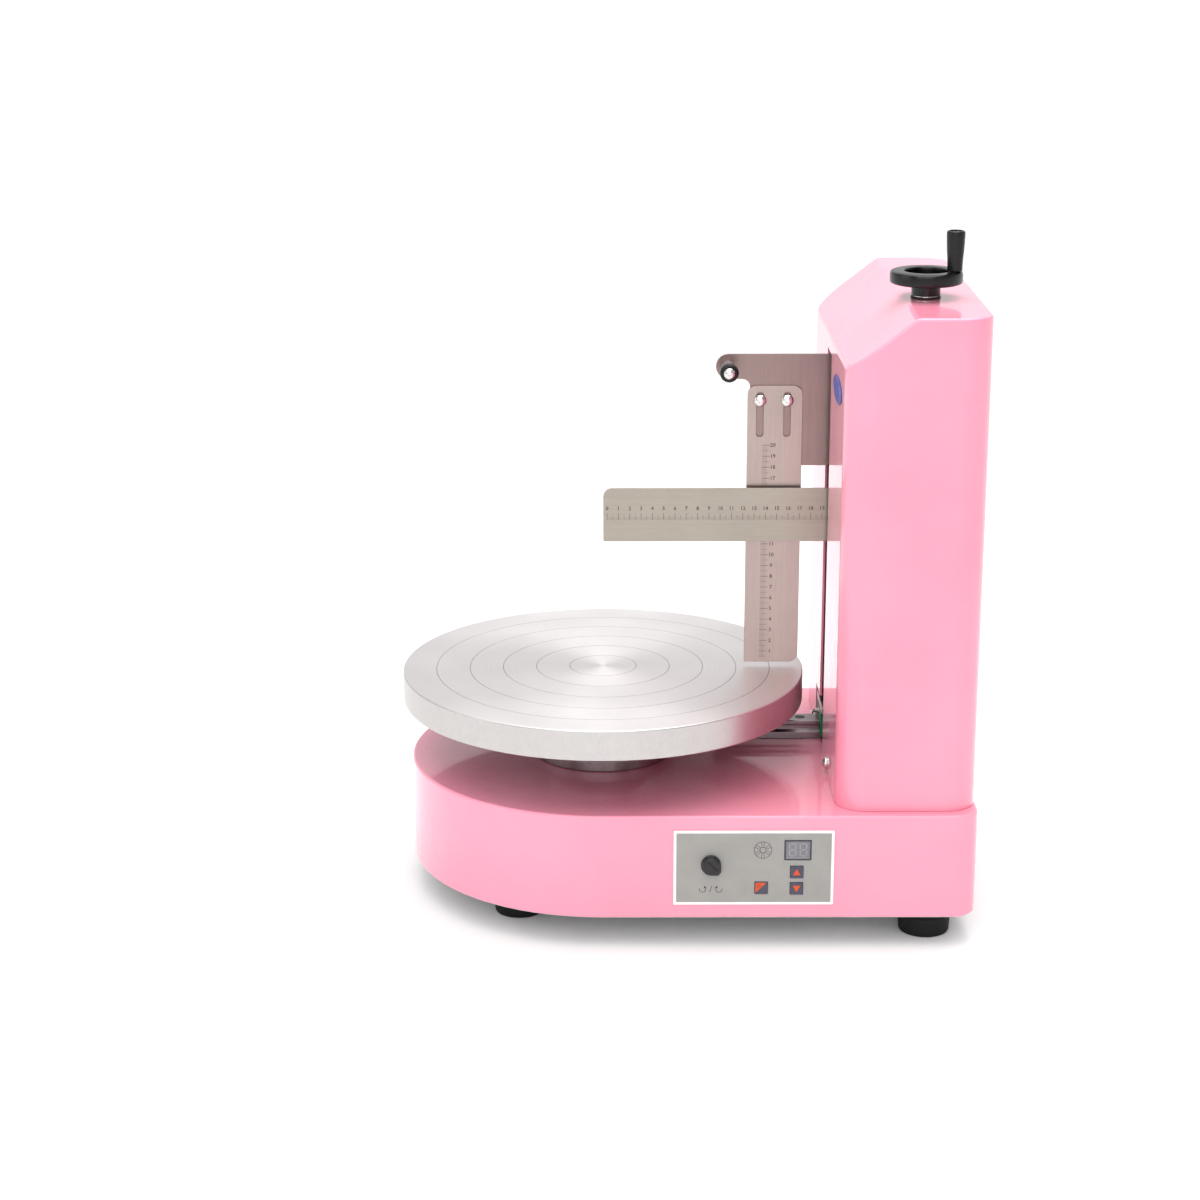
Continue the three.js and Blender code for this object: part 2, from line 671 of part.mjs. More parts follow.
function topScraper() {
  return cut(
    extrudeAlongY(roundedRectangle(topScraperEnd, topScraperInner, topScraperBottom, topScraperTop,
      [1.5, 1.5, 1.5, 8], 6), topScraperFront, topScraperBack),
    ...scraperScrewXs.map((x) =>
      rodAlongY(scraperScrewRadius + gap, x, scraperScrewHeight, topScraperFront - 5, topScraperBack + 5)));
}

function scraperScrew(x) {
  return joined(
    rodAlongY(scraperScrewRadius, x, scraperScrewHeight, topScraperFront - 5, topScraperBack + 1),
    rodAlongY(4.5, x, scraperScrewHeight, topScraperBack + gap, topScraperBack + gap + 2.2, 16, 3.8));
}

place('lift_carriage', liftCarriage(), 'aluminium');
place('lift_nut', liftNut(), 'brass');
place('top_scraper', topScraper(), 'stainless');
scraperScrewXs.forEach((x, i) => place(`scraper_screw_${i + 1}`, scraperScrew(x), 'steel'));

// Lead screw and the handwheel on top of it
const crankX = screwX + crankRadius * Math.cos(THREE.MathUtils.degToRad(crankAngle));
const crankY = screwY + crankRadius * Math.sin(THREE.MathUtils.degToRad(crankAngle));
const screwTop = wheelBottom + wheelHubHeight - 2;
const pinRadius = 3;
const dishFloor = wheelBottom + wheelHubHeight + 1;

function handwheel() {
  const rimBottom = wheelBottom + wheelHubHeight - 1;
  const bore = screwRadius + gap;
  return cut(
    turned([
      [wheelHub, wheelBottom], [wheelHub, rimBottom], [wheelRadius - 1.5, rimBottom],
      [wheelRadius, rimBottom + 1.5], [wheelRadius, wheelTop - 2], [wheelRadius - 2, wheelTop],
      [wheelInner + 1, wheelTop], [wheelInner, wheelTop - 1], [wheelInner, dishFloor], [bore, dishFloor],
      [bore, wheelBottom],
    ], screwX, screwY, 32),
    rod(pinRadius + gap, crankX, crankY, rimBottom - 5, wheelTop + 5));
}

function crankHandle() {
  const bottom = wheelTop + gap;
  const top = bottom + crankHeight;
  return turned([
    [crankBottom, bottom], [crankBottom + 0.2, bottom + 10], [crankTop, top - 12], [crankTop, top - 0.8],
    [crankTop - 0.8, top], [crankTop - 2, top], [crankTop - 2, top - 3.5],
    [pinRadius + runningGap, top - 3.5],
    [pinRadius + runningGap, bottom],
  ], crankX, crankY, 20);
}

function crankPin() {
  const top = wheelTop + gap + crankHeight - 0.8;
  return joined(
    rod(pinRadius, crankX, crankY, wheelTop - wheelRim + 1, top),
    rod(crankTop - 2.4, crankX, crankY, top - 2.4, top));
}

place('lead_screw', rod(screwRadius, screwX, screwY, frameBottom + 1, screwTop), 'steel');
place('handwheel_washer', bearing(screwX, screwY, columnTop + gap, screwRadius + gap, 11.5, 1.6), 'steel');
place('handwheel', handwheel(), 'black');
place('crank_handle', crankHandle(), 'black');
place('crank_pin', crankPin(), 'steel');

// Linear rail and block that carry the side scraper
const railRear = columnRear - sheet - 5;
const railFront = railRear - railLength;
const railHolePitch = 60;

function railSection(grow) {
  const z = baseTop + gap;
  const half = railWidth / 2 + grow;
  const top = railTop + grow;
  return [
    [railOffset - half, z - grow], [railOffset + half, z - grow], [railOffset + half, z + 6 - grow],
    [railOffset + half - 2.5, z + 8.5 - grow], [railOffset + half - 2.5, top - 5.5],
    [railOffset + half, top - 4], [railOffset + half, top - 0.8], [railOffset + half - 0.8, top],
    [railOffset - half + 0.8, top], [railOffset - half, top - 0.8], [railOffset - half, top - 4],
    [railOffset - half + 2.5, top - 5.5], [railOffset - half + 2.5, z + 8.5 - grow],
    [railOffset - half, z + 6 - grow],
  ];
}

function linearRail() {
  const tools = [];
  for (let x = railFront + 20; x < railRear; x += railHolePitch) {
    tools.push(rod(4.75, x, railOffset, railTop - 8.5, railTop + 5, 14));
    tools.push(rod(3, x, railOffset, baseTop - 5, railTop, 12));
  }
  return cut(extrudeAlongX(outline(railSection(0)), railFront, railRear), ...tools);
}

// A saddle over the rail, open below
function saddle(x0, x1, width, lift, top) {
  const half = width / 2;
  const inner = railWidth / 2 + 2 * gap;
  const z = baseTop + gap;
  const section = roundedRectangle(railOffset - half, railOffset + half, z + lift, top, [1, 1, 2, 2], 2);
  return cut(extrudeAlongX(section, x0, x1),
    box(x0 - 5, x1 + 5, railOffset - inner, railOffset + inner, z - 5, railTop + 2 * gap));
}

const capXs = {
  rail_cap_front: blockFront,
  rail_cap_rear: blockFront + endCapLength + blockLength + 2 * gap,
};
place('linear_rail', linearRail(), 'steel');
place('rail_block', saddle(blockFront + endCapLength + gap, blockFront + endCapLength + gap + blockLength,
  blockWidth, 4.6, blockTop), 'steel');
for (const [name, x] of Object.entries(capXs)) {
  place(name, saddle(x, x + endCapLength, blockWidth - 1.4, 5.2, blockTop - 1.2), 'green');
}

// Side scraper's carrier: a plate on the block, a post behind the slot, and the bracket it clamps to
const postY = [bracketThickness + gap, railOffset + 10];
place('carriage_plate', box(blockFront, postRear + 1, postY[0], railOffset + blockWidth / 2 - 0.7,
  blockTop + gap, carriageTop), 'zinc');
place('side_post', box(postFront, postRear, ...postY, carriageTop + gap, bracketTop), 'aluminium');

const armEnd = sideLeft - 27.9;
const gripX = armEnd + 10.3;
const gripZ = bracketTop - bracketArmHeight / 2;

function bracketPlate() {
  const bottom = bracketTop - bracketHeight;
  const end = bracketArmHeight / 2;
  const armBottom = bracketTop - bracketArmHeight;
  const left = sideLeft + bracketBehindBlade;
  const fillet = 7;
  const plate = extrudeAlongY(outline([
    [left, bottom], [postRear, bottom], [postRear, bracketTop],
    ...arc(armEnd + end, bracketTop - end, end, 90, 270, 10),
    ...arc(left - fillet, armBottom - fillet, fillet, 90, 0, 4),
  ]), 0, bracketThickness);
  const hole = clampRadius + gap;
  return cut(plate,
    ...clampPlaces.map((x) => rodAlongY(hole, x, clampHeight, -5, bracketThickness + 5)),
    rodAlongY(hole, gripX, gripZ, -5, bracketThickness + 5));
}

const sideBack = -gap;
const sideFront = sideBack - sideScraperThickness;

function sideScraper() {
  const slot = clampSlotWidth / 2;
  const slotHead = sideTop - clampSlotFromTop;
  const slots = clampPlaces.map((x) => extrudeAlongY(
    roundedRectangle(x - slot, x + slot, slotHead - clampSlotLength, slotHead, [slot, slot, slot, slot]),
    sideFront - 5, sideBack + 5));
  return cut(extrudeAlongY(roundedRectangle(sideLeft, sideRight, sideBottom, sideTop, [1, 8, 7.5, 7.5], 6),
    sideFront, sideBack), ...slots);
}

// Button-head screw along Y, its head in front of the side scraper
function clampScrew(x) {
  const headBack = sideFront - gap;
  return joined(
    rodAlongY(clampRadius, x, clampHeight, headBack - 1, bracketThickness + 2.5),
    rodAlongY(3.6, x, clampHeight, headBack - 3.3, headBack, 16, 5.45));
}

const gripFront = -gap - gripLength;
const gripRing = 7;
const gripHead = gripFront - gap - gripRing - gap;

place('bracket_plate', bracketPlate(), 'stainless');
place('side_scraper', sideScraper(), 'stainless');
clampPlaces.forEach((x, i) => place(`clamp_screw_${i + 1}`, clampScrew(x), 'steel'));
place('grip_sleeve', cut(rodAlongY(gripRadius, gripX, gripZ, gripFront, -gap, 20),
  rodAlongY(clampRadius + gap, gripX, gripZ, gripFront - 5, 5)), 'aluminium');
place('grip_ring', cut(rodAlongY(8.2, gripX, gripZ, gripFront - gap - gripRing, gripFront - gap, 20),
  rodAlongY(clampRadius + gap, gripX, gripZ, gripFront - 20, 5)), 'black');
place('grip_screw', joined(
  rodAlongY(clampRadius, gripX, gripZ, gripHead - 1, bracketThickness + 2.5),
  rodAlongY(3.4, gripX, gripZ, gripHead - 2.6, gripHead, 16, 4.9)), 'steel');

// The origin goes to the middle of the object's footprint, on the floor
const knobFront = panelFace - 0.5 - knobHeight - 0.8;
assembly.position.set((tableRadius - baseRear) / 2, -(tableRadius + knobFront) / 2, 0);

export default assembly;
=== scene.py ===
import json
import math

import bmesh
import bpy
from mathutils import Matrix, Vector


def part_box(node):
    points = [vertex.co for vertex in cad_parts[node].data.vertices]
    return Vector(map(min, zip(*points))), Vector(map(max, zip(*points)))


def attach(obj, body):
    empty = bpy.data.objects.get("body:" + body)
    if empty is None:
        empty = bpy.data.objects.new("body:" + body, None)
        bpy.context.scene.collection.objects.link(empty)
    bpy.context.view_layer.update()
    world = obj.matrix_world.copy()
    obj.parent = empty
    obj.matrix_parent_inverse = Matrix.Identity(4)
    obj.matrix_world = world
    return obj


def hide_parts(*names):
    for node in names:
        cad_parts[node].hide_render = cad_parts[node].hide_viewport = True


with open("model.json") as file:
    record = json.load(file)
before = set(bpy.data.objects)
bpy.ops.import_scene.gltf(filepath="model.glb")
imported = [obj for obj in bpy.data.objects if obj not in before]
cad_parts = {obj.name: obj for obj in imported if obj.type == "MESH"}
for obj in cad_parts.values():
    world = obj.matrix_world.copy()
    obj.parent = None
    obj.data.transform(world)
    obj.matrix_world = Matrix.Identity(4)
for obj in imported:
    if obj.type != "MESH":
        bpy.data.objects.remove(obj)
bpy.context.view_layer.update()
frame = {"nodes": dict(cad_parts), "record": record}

mm = 0.001
record = frame["record"]
bodyOf = {node: body for body, nodes in record["behaviour"]["bodies"].items() for node in nodes}

tableLow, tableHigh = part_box("turntable")
tableAxis = (tableLow + tableHigh) / 2
tableAxis.z = 0


# Mesh helpers

def sizesOf(node):
    low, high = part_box(node)
    return low, high, (low + high) / 2


def centreOf(node):
    return sizesOf(node)[2]


# Closed profile of a ring about Z, or of a disc when the bore is 0
def ringProfile(bore, outer, bottom, top):
    return [(bore, bottom), (outer, bottom), (outer, top), (bore, top)]


# Points of a rounded edge in a profile, at angles from straight up
def bend(across, height, radius, angles):
    return [(across + radius * math.sin(math.radians(a)),
             height + radius * math.cos(math.radians(a))) for a in angles]


def around(across, up, radius, angle):
    return (across + radius * math.cos(angle), up + radius * math.sin(angle))


def inScene(name, data):
    item = bpy.data.objects.new(name, data)
    bpy.context.scene.collection.objects.link(item)
    return item


def evaluatedMesh(item):
    mesh = bmesh.new()
    mesh.from_mesh(item.evaluated_get(bpy.context.evaluated_depsgraph_get()).to_mesh())
    return mesh


def boxMesh(low, high):
    low = Vector(low)
    high = Vector(high)
    mesh = bmesh.new()
    size = Matrix.Diagonal((*(high - low), 1))
    bmesh.ops.create_cube(mesh, size=1, matrix=Matrix.Translation((low + high) / 2) @ size)
    return mesh


def rodMesh(radius, length, segments=32, topRadius=None):
    mesh = bmesh.new()
    top = radius if topRadius is None else topRadius
    bmesh.ops.create_cone(mesh, cap_ends=True, segments=segments, radius1=radius, radius2=top,
                          depth=length, matrix=Matrix.Translation((0, 0, length / 2)))
    return mesh


def bevelEdges(mesh, edges, width, segments=3):
    bmesh.ops.bevel(mesh, geom=edges, offset=width, offset_type="OFFSET", affect="EDGES",
                    segments=segments, profile=0.5, material=-1, clamp_overlap=True)
    return mesh


def edgesAlong(mesh, axis, wanted=lambda middle: True):
    found = []
    for edge in mesh.edges:
        start, end = (vert.co for vert in edge.verts)
        if abs((end - start).normalized()[axis]) > 0.999 and wanted((start + end) / 2):
            found.append(edge)
    return found


def softenSharp(mesh, width, segments=3, angle=28):
    sharp = [edge for edge in mesh.edges
             if edge.is_manifold and edge.calc_face_angle(0) > math.radians(angle)]
    return bevelEdges(mesh, sharp, width, segments)


# A closed profile of (radius, height) points, turned about Z
def turnedMesh(profile, steps=96, soft=0):
    mesh = bmesh.new()
    points = [mesh.verts.new((radius, 0, height)) for radius, height in profile]
    pairs = zip(points, points[1:] + points[:1])
    edges = [mesh.edges.new(pair) for pair in pairs if max(pair[0].co.x, pair[1].co.x) > 0]
    bmesh.ops.spin(mesh, geom=points + edges, cent=(0, 0, 0), axis=(0, 0, 1), dvec=(0, 0, 0),
                   angle=2 * math.pi, steps=steps, use_merge=True, use_duplicate=False)
    bmesh.ops.remove_doubles(mesh, verts=mesh.verts[:], dist=1e-6)
    bmesh.ops.recalc_face_normals(mesh, faces=mesh.faces[:])
    if soft:
        softenSharp(mesh, soft)
    return mesh


def standAt(mesh, point, direction=(0, 0, 1)):
    turn = Vector(direction).to_track_quat("Z", "Y").to_matrix().to_4x4()
    mesh.transform(Matrix.Translation(point) @ turn)
    return mesh


def addTo(mesh, extra, material=None):
    if material is not None:
        for face in extra.faces:
            face.material_index = material
    scratch = bpy.data.meshes.new("scratch")
    extra.to_mesh(scratch)
    extra.free()
    mesh.from_mesh(scratch)
    bpy.data.meshes.remove(scratch)
    return mesh


def asObject(mesh, name):
    data = bpy.data.meshes.new(name)
    mesh.to_mesh(data)
    mesh.free()
    return inScene(name, data)


def carve(mesh, cutters):
    blank = asObject(mesh, "blank")
    tools = [asObject(cutter, "cutter") for cutter in cutters]
    for tool in tools:
        step = blank.modifiers.new("cut", "BOOLEAN")
        step.operation = "DIFFERENCE"
        step.solver = "EXACT"
        step.object = tool
    result = evaluatedMesh(blank)
    for item in [blank, *tools]:
        data = item.data
        bpy.data.objects.remove(item)
        bpy.data.meshes.remove(data)
    return result


# The CAD node's own shape, with its triangles merged and its sharp edges rounded
def softenedCopy(node, width, segments=3):
    mesh = bmesh.new()
    mesh.from_mesh(frame["nodes"][node].data)
    for face in mesh.faces:
        face.material_index = 0
    bmesh.ops.remove_doubles(mesh, verts=mesh.verts[:], dist=1e-6)
    bmesh.ops.dissolve_limit(mesh, angle_limit=math.radians(1), use_dissolve_boundaries=False,
                             verts=mesh.verts[:], edges=mesh.edges[:], delimit=set())
    return softenSharp(mesh, width, segments)


# Makes the object, gives it its finishes, puts it on its body and hides the node it replaces
def finishPiece(name, mesh, node, *looks, replaces=True, slot=None, weighted=True):
    bmesh.ops.recalc_face_normals(mesh, faces=mesh.faces[:])
    piece = asObject(mesh, name)
    for look in looks:
        piece.data.materials.append(finishes[look])
    piece.data.shade_smooth()
    piece.data.set_sharp_from_angle(angle=math.radians(36))
    if weighted:
        piece.modifiers.new("flat_faces", "WEIGHTED_NORMAL").keep_sharp = True
    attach(piece, bodyOf[node])
    if replaces:
        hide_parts(node)
    return piece


# Bright screws, nuts and pins that go with a node
def addHardware(name, mesh, node):
    finishPiece(name, mesh, node, "bright", replaces=False, slot="bright_steel")


# Print and etched marks on a node's face
def addPrint(name, mesh, node, look):
    finishPiece(name, mesh, node, look, replaces=False, weighted=False)


# Shader helpers

class Wire:
    def __init__(self, tree, socket=None):
        self.tree = tree
        self.socket = socket

    def node(self, kind, settings=None, inputs=None, output=0):
        made = self.tree.nodes.new(kind)
        for name, value in (settings or {}).items():
            setattr(made, name, value)
        for name, value in (inputs or {}).items():
            if isinstance(value, Wire):
                self.tree.links.new(value.socket, made.inputs[name])
            else:
                made.inputs[name].default_value = value
        return Wire(self.tree, made.outputs[output])

    def maths(self, operation, first, second):
        return self.node("ShaderNodeMath", {"operation": operation}, {0: first, 1: second})

    def __add__(self, other):
        return self.maths("ADD", self, other)

    def __radd__(self, other):
        return self.maths("ADD", other, self)

    def __sub__(self, other):
        return self.maths("SUBTRACT", self, other)

    def __rsub__(self, other):
        return self.maths("SUBTRACT", other, self)

    def __mul__(self, other):
        return self.maths("MULTIPLY", self, other)

    def __rmul__(self, other):
        return self.maths("MULTIPLY", other, self)

    def __gt__(self, other):
        return self.maths("GREATER_THAN", self, other)

    def __lt__(self, other):
        return self.maths("LESS_THAN", self, other)

    def sine(self):
        return self.node("ShaderNodeMath", {"operation": "SINE"}, {0: self})

    def angleTo(self, other):
        return self.maths("ARCTAN2", self, other)

    def axis(self, name):
        return self.node("ShaderNodeSeparateXYZ", {}, {0: self}, output=name)

    def stretched(self, scale, location=(0, 0, 0)):
        return self.node("ShaderNodeMapping", {}, {"Vector": self, "Scale": scale, "Location": location})

    def noise(self, scale, detail=2, roughness=0.5):
        return self.node("ShaderNodeTexNoise", {"noise_dimensions": "3D"},
                         {"Vector": self, "Scale": scale, "Detail": detail, "Roughness": roughness})

    def noiseAlong(self, scale, detail=2):
        return self.node("ShaderNodeTexNoise", {"noise_dimensions": "1D"},
                         {"W": self, "Scale": scale, "Detail": detail})

    def length(self):
        return self.node("ShaderNodeVectorMath", {"operation": "LENGTH"}, {0: self}, output="Value")

    def between(self, first, second):
        return self.node("ShaderNodeMix", {"data_type": "RGBA"}, {0: self, 6: first, 7: second}, output=2)

    def clamped(self, low, high):
        return self.node("ShaderNodeMapRange", {}, {"Value": self, "From Min": low, "From Max": high})

    def bump(self, distance, strength=1.0, after=None):
        inputs = {"Height": self, "Distance": distance, "Strength": strength}
        if after is not None:
            inputs["Normal"] = after
        return self.node("ShaderNodeBump", {}, inputs)


# sRGB 0 to 255 into the renderer's own linear colour
def tint(red, green, blue):
    def linear(value):
        value = value / 255
        return value / 12.92 if value <= 0.04045 else ((value + 0.055) / 1.055) ** 2.4
    return (linear(red), linear(green), linear(blue), 1)


def makeMaterial(name, constants, surface):
    material = bpy.data.materials.new(name)
    material.use_nodes = True
    tree = material.node_tree
    shader = tree.nodes["Principled BSDF"]
    for socket, value in constants.items():
        shader.inputs[socket].default_value = value
    place = Wire(tree).node("ShaderNodeTexCoord", output="Object")
    for socket, value in surface(place).items():
        tree.links.new(value.socket, shader.inputs[socket])
    return material


# Finishes

def pinkPaint():
    def surface(place):
        drift = place.noise(7, 3).clamped(0.3, 0.7)
        peel = place.noise(260, 2)
        speck = place.noise(2400, 1)
        return {
            "Base Color": drift.between(tint(240, 144, 167), tint(243, 152, 174)),
            "Roughness": 0.22 + speck * 0.08 + drift * 0.04,
            "Normal": peel.bump(0.005 * mm, 0.4),
        }
    return makeMaterial("pinkPaint", {
        "Coat Weight": 0.75, "Coat Roughness": 0.02, "Coat IOR": 1.45, "Specular IOR Level": 0.25,
    }, surface)


# Machined face: rings about the table's axis
def turnedFace(name, light, dark, roughness, anisotropy):
    centre = (-tableAxis.x, -tableAxis.y, 0)

    def surface(place):
        flat = place.stretched((1, 1, 0), centre)
        radius = flat.length()
        bands = radius.noiseAlong(700, 3)
        cuts = radius.noiseAlong(4200, 2)
        haze = place.noise(16, 4)
        shade = (bands * 0.3 + cuts * 0.4 + haze * 0.4).clamped(0.35, 0.75)
        return {
            "Base Color": shade.between(tint(*dark), tint(*light)),
            "Roughness": roughness + (haze - 0.5) * 0.1 + (cuts - 0.5) * 0.08,
            "Normal": bands.bump(0.001 * mm, 0.2),
        }
    return makeMaterial(name, {
        "Metallic": 1.0, "Anisotropic": anisotropy, "Anisotropic Rotation": 0.25,
    }, surface)


# Cast and skimmed side of the table: mottled, with fine upright scratches
def skimmedRim():
    def surface(place):
        mottle = place.noise(120, 5, 0.7)
        scratch = place.stretched((1, 1, 0.15)).noise(1500, 3)
        pits = (place.noise(700, 2) < 0.34) * 0.5
        shade = (mottle * 0.6 + scratch * 0.4).clamped(0.3, 0.7)
        return {
            "Base Color": shade.between(tint(181, 179, 178), tint(196, 193, 191)),
            "Roughness": 0.36 + (mottle - 0.5) * 0.2 + pits * 0.1,
            "Normal": (mottle * 0.5 + scratch * 0.5 - pits * 0.5).bump(0.02 * mm, 0.4),
        }
    return makeMaterial("skimmedRim", {"Metallic": 1.0}, surface)


# Underside of the table, left as it was cast; its dark grey is painted shade for the shadow under the
# table
def castGrey():
    def surface(place):
        sand = place.noise(900, 4, 0.65)
        patch = place.noise(30, 3)
        return {
            # These dark greys are painted shade, standing in for the shadow under the table; the sand
            # texture is the cast surface
            "Base Color": patch.between(tint(92, 90, 90), tint(120, 118, 117)),
            "Roughness": 0.5 + sand * 0.2,
            "Normal": sand.bump(0.08 * mm, 0.6),
        }
    return makeMaterial("castGrey", {"Metallic": 0.6}, surface)


# Brushed sheet; the grain is long on the axis whose stretch is small
def brushedSheet(name, grain, light, dark, roughness=0.34):
    def surface(place):
        lines = place.stretched(grain).noise(3200, 4, 0.6)
        wide = place.stretched(grain).noise(480, 3)
        haze = place.noise(14, 3)
        shade = (lines * 0.45 + wide * 0.2 + haze * 0.4).clamped(0.3, 0.78)
        return {
            "Base Color": shade.between(tint(*dark), tint(*light)),
            "Roughness": roughness + (lines - 0.5) * 0.2 + (haze - 0.5) * 0.1,
            "Normal": (lines * 0.8 + wide * 0.2).bump(0.004 * mm, 0.35),
        }
    return makeMaterial(name, {"Metallic": 1.0}, surface)


# Bare metal with fine marks, for screws, rods and machined blocks
def bareMetal(name, light, dark, roughness, marks=700, depth=0.01):
    def surface(place):
        fine = place.noise(marks, 4, 0.6)
        haze = place.noise(60, 3)
        shade = (fine * 0.4 + haze * 0.6).clamped(0.35, 0.7)
        return {
            "Base Color": shade.between(tint(*dark), tint(*light)),
            "Roughness": roughness + (haze - 0.5) * 0.2 + (fine - 0.5) * 0.1,
            "Normal": fine.bump(depth * mm, 0.4),
        }
    return makeMaterial(name, {"Metallic": 1.0}, surface)


# Ground steel, with the wheel marks along X
def groundSteel():
    return brushedSheet("groundSteel", (0.05, 1, 1), (150, 142, 145), (116, 108, 111), 0.24)


# Lead screw: the thread is a ridge that climbs once each lead
def threadedSteel():
    centre = centreOf("lead_screw")

    def surface(place):
        local = place.stretched((1, 1, 1), (-centre.x, -centre.y, 0))
        turn = local.axis("Y").angleTo(local.axis("X"))
        ridge = (local.axis("Z") * (4 * 2 * math.pi / (8 * mm)) - turn * 1.0).sine()
        oil = place.noise(90, 3)
        return {
            "Base Color": oil.between(tint(150, 150, 152), tint(190, 190, 192)),
            "Roughness": 0.25 + oil * 0.15,
            "Normal": ridge.bump(0.6 * mm, 0.8),
        }
    return makeMaterial("threadedSteel", {"Metallic": 1.0}, surface)


# Moulded plastic and rubber
def moulded(name, light, dark, roughness, grain, depth, coat=0.0):
    def surface(place):
        texture = place.noise(grain, 3, 0.6)
        wear = place.noise(55, 4)
        return {
            "Base Color": wear.clamped(0.35, 0.7).between(tint(*dark), tint(*light)),
            "Roughness": roughness + (texture - 0.5) * 0.16 + (wear - 0.5) * 0.16,
            "Normal": texture.bump(depth * mm, 0.5),
        }
    return makeMaterial(name, {"Coat Weight": coat, "Specular IOR Level": 0.32, "Coat Roughness": 0.2},
                        surface)


def circuitBoard():
    def surface(place):
        tracks = place.node("ShaderNodeTexBrick", {"offset": 0.5}, {
            "Vector": place.node("ShaderNodeMapping", {},
                                 {"Vector": place, "Rotation": (math.radians(90), 0, 0)}),
            "Color1": tint(22, 96, 56), "Color2": tint(26, 108, 62), "Mortar": tint(92, 138, 70),
            "Scale": 160, "Mortar Size": 0.06,
        })
        flow = place.noise(500, 2)
        return {"Base Color": tracks, "Roughness": 0.35 + flow * 0.2, "Normal": flow.bump(0.02 * mm)}
    return makeMaterial("circuitBoard", {"Coat Weight": 0.3}, surface)


def smokedWindow():
    def surface(place):
        haze = place.noise(120, 3)
        return {
            "Base Color": haze.between(tint(96, 94, 102), tint(116, 114, 121)),
            "Roughness": 0.1 + haze * 0.08,
        }
    return makeMaterial("smokedWindow", {"Coat Weight": 0.6, "Coat Roughness": 0.05}, surface)


finishes = {
    "paint": pinkPaint(),
    "tableFace": turnedFace("tableFace", (225, 221, 221), (212, 208, 208), 0.44, 0.42),
    # The grooves' darker grey is painted shade, standing in for the shade inside the grooves of the same
    # metal
    "tableGroovePaintedShade": turnedFace("tableGroovePaintedShade", (166, 162, 162), (138, 134, 134), 0.5, 0.0),
    "rim": skimmedRim(),
    # The table's underside has a cast texture, and its dark grey is painted shade
    "castAndPaintedShade": castGrey(),
    "machined": bareMetal("machined", (174, 162, 164), (136, 124, 126), 0.33, 420, 0.02),
    "uprightBrushed": brushedSheet("uprightBrushed", (1, 1, 0.02), (184, 168, 163),
                                   (155, 140, 135)),
    # The bracket plate is the same stainless sheet as the scrapers, made darker and pinker: painted shade
    # and a painted reflection of the pink casing
    "bracketBrushedPaintedShadeAndReflection": brushedSheet("bracketBrushedPaintedShadeAndReflection", (1, 1, 0.02), (156, 136, 133),
                                   (131, 112, 109)),
    "levelBrushed": brushedSheet("levelBrushed", (0.02, 1, 1), (172, 165, 155), (148, 141, 131)),
    "bright": bareMetal("brightSteel", (232, 230, 229), (196, 193, 192), 0.14, 900, 0.004),
    "ground": groundSteel(),
    "zinc": bareMetal("zincPlate", (214, 215, 214), (172, 174, 176), 0.38, 240, 0.03),
    "motor": bareMetal("motorCase", (150, 150, 154), (116, 116, 120), 0.42, 300, 0.03),
    "threaded": threadedSteel(),
    "brass": bareMetal("brass", (222, 184, 104), (176, 136, 66), 0.3, 500, 0.01),
    "rubber": moulded("footRubber", (14, 14, 14), (8, 8, 8), 0.7, 700, 0.04),
    "belt": moulded("beltRubber", (38, 38, 38), (26, 26, 26), 0.75, 1200, 0.05),
    "wheel": moulded("wheelPlastic", (10, 9, 10), (5, 5, 5), 0.25, 1300, 0.012, 0.05),
    "handle": moulded("handlePlastic", (8, 7, 8), (4, 4, 4), 0.28, 1100, 0.015, 0.04),
    "knob": moulded("knobPlastic", (20, 19, 20), (9, 9, 9), 0.25, 1500, 0.008, 0.3),
    "black": moulded("blackPlastic", (20, 20, 20), (12, 12, 12), 0.45, 900, 0.02),
    "green": moulded("greenPlastic", (28, 150, 86), (16, 120, 66), 0.4, 800, 0.015),
    "whiteFilm": moulded("whiteFilm", (247, 245, 243), (238, 236, 233), 0.42, 1600, 0.006, 0.1),
    "greyFilm": moulded("greyFilm", (152, 151, 147), (146, 145, 141), 0.45, 1800, 0.008, 0.1),
    "slateKey": moulded("slateKey", (78, 76, 91), (68, 66, 81), 0.42, 1500, 0.006),
    "orangeInk": moulded("orangeInk", (214, 84, 38), (202, 72, 28), 0.45, 1500, 0.004),
    "darkInk": moulded("darkInk", (66, 63, 60), (50, 48, 46), 0.55, 1500, 0.002),
    "etch": moulded("etchedMark", (92, 82, 78), (66, 58, 55), 0.6, 1500, 0.002),
    "paleSegment": moulded("paleSegment", (150, 149, 153), (136, 135, 139), 0.4, 900, 0.002),
    "bezel": moulded("displayBezel", (70, 68, 76), (58, 56, 64), 0.35, 900, 0.004),
    "window": smokedWindow(),
    "badge": moulded("badgeBlue", (62, 84, 170), (48, 66, 150), 0.35, 800, 0.004, 0.15),
    "badgeRim": bareMetal("badgeRim", (176, 178, 214), (136, 140, 190), 0.25, 600, 0.004),
    "board": circuitBoard(),
}
print("finishes:", len(finishes))


# CAD nodes that keep their own shape

keptFinish = {
    "zinc": ["base_plate", "column_frame", "shell_tab", "motor_bracket"],
    "bright": ["bearing_upper", "bearing_lower", "spindle", "guide_rod_front", "guide_rod_rear",
               "screw_bearing_lower", "screw_bearing_upper"],
    "machined": ["table_pulley", "motor_pulley", "lift_carriage"],
    "motor": ["gear_motor"],
    "belt": ["drive_belt"],
    "threaded": ["lead_screw"],
    "brass": ["lift_nut"],
    "black": ["selector_switch"],
    "board": ["control_board"],
}
for finish, nodes in keptFinish.items():
    for node in nodes:
        for slot in frame["nodes"][node].material_slots:
            slot.material = finishes[finish]
print("kept nodes dressed")


# Base casing

baseCasing = {
    "wall": 2 * mm,
    "rearCorner": 20 * mm,
    "edge": 2.5 * mm,
    "bearingHole": 31.6 * mm,
    "panelOpening": (6 * mm, 8 * mm),    # in from the panel's ends, and from its top and bottom
}


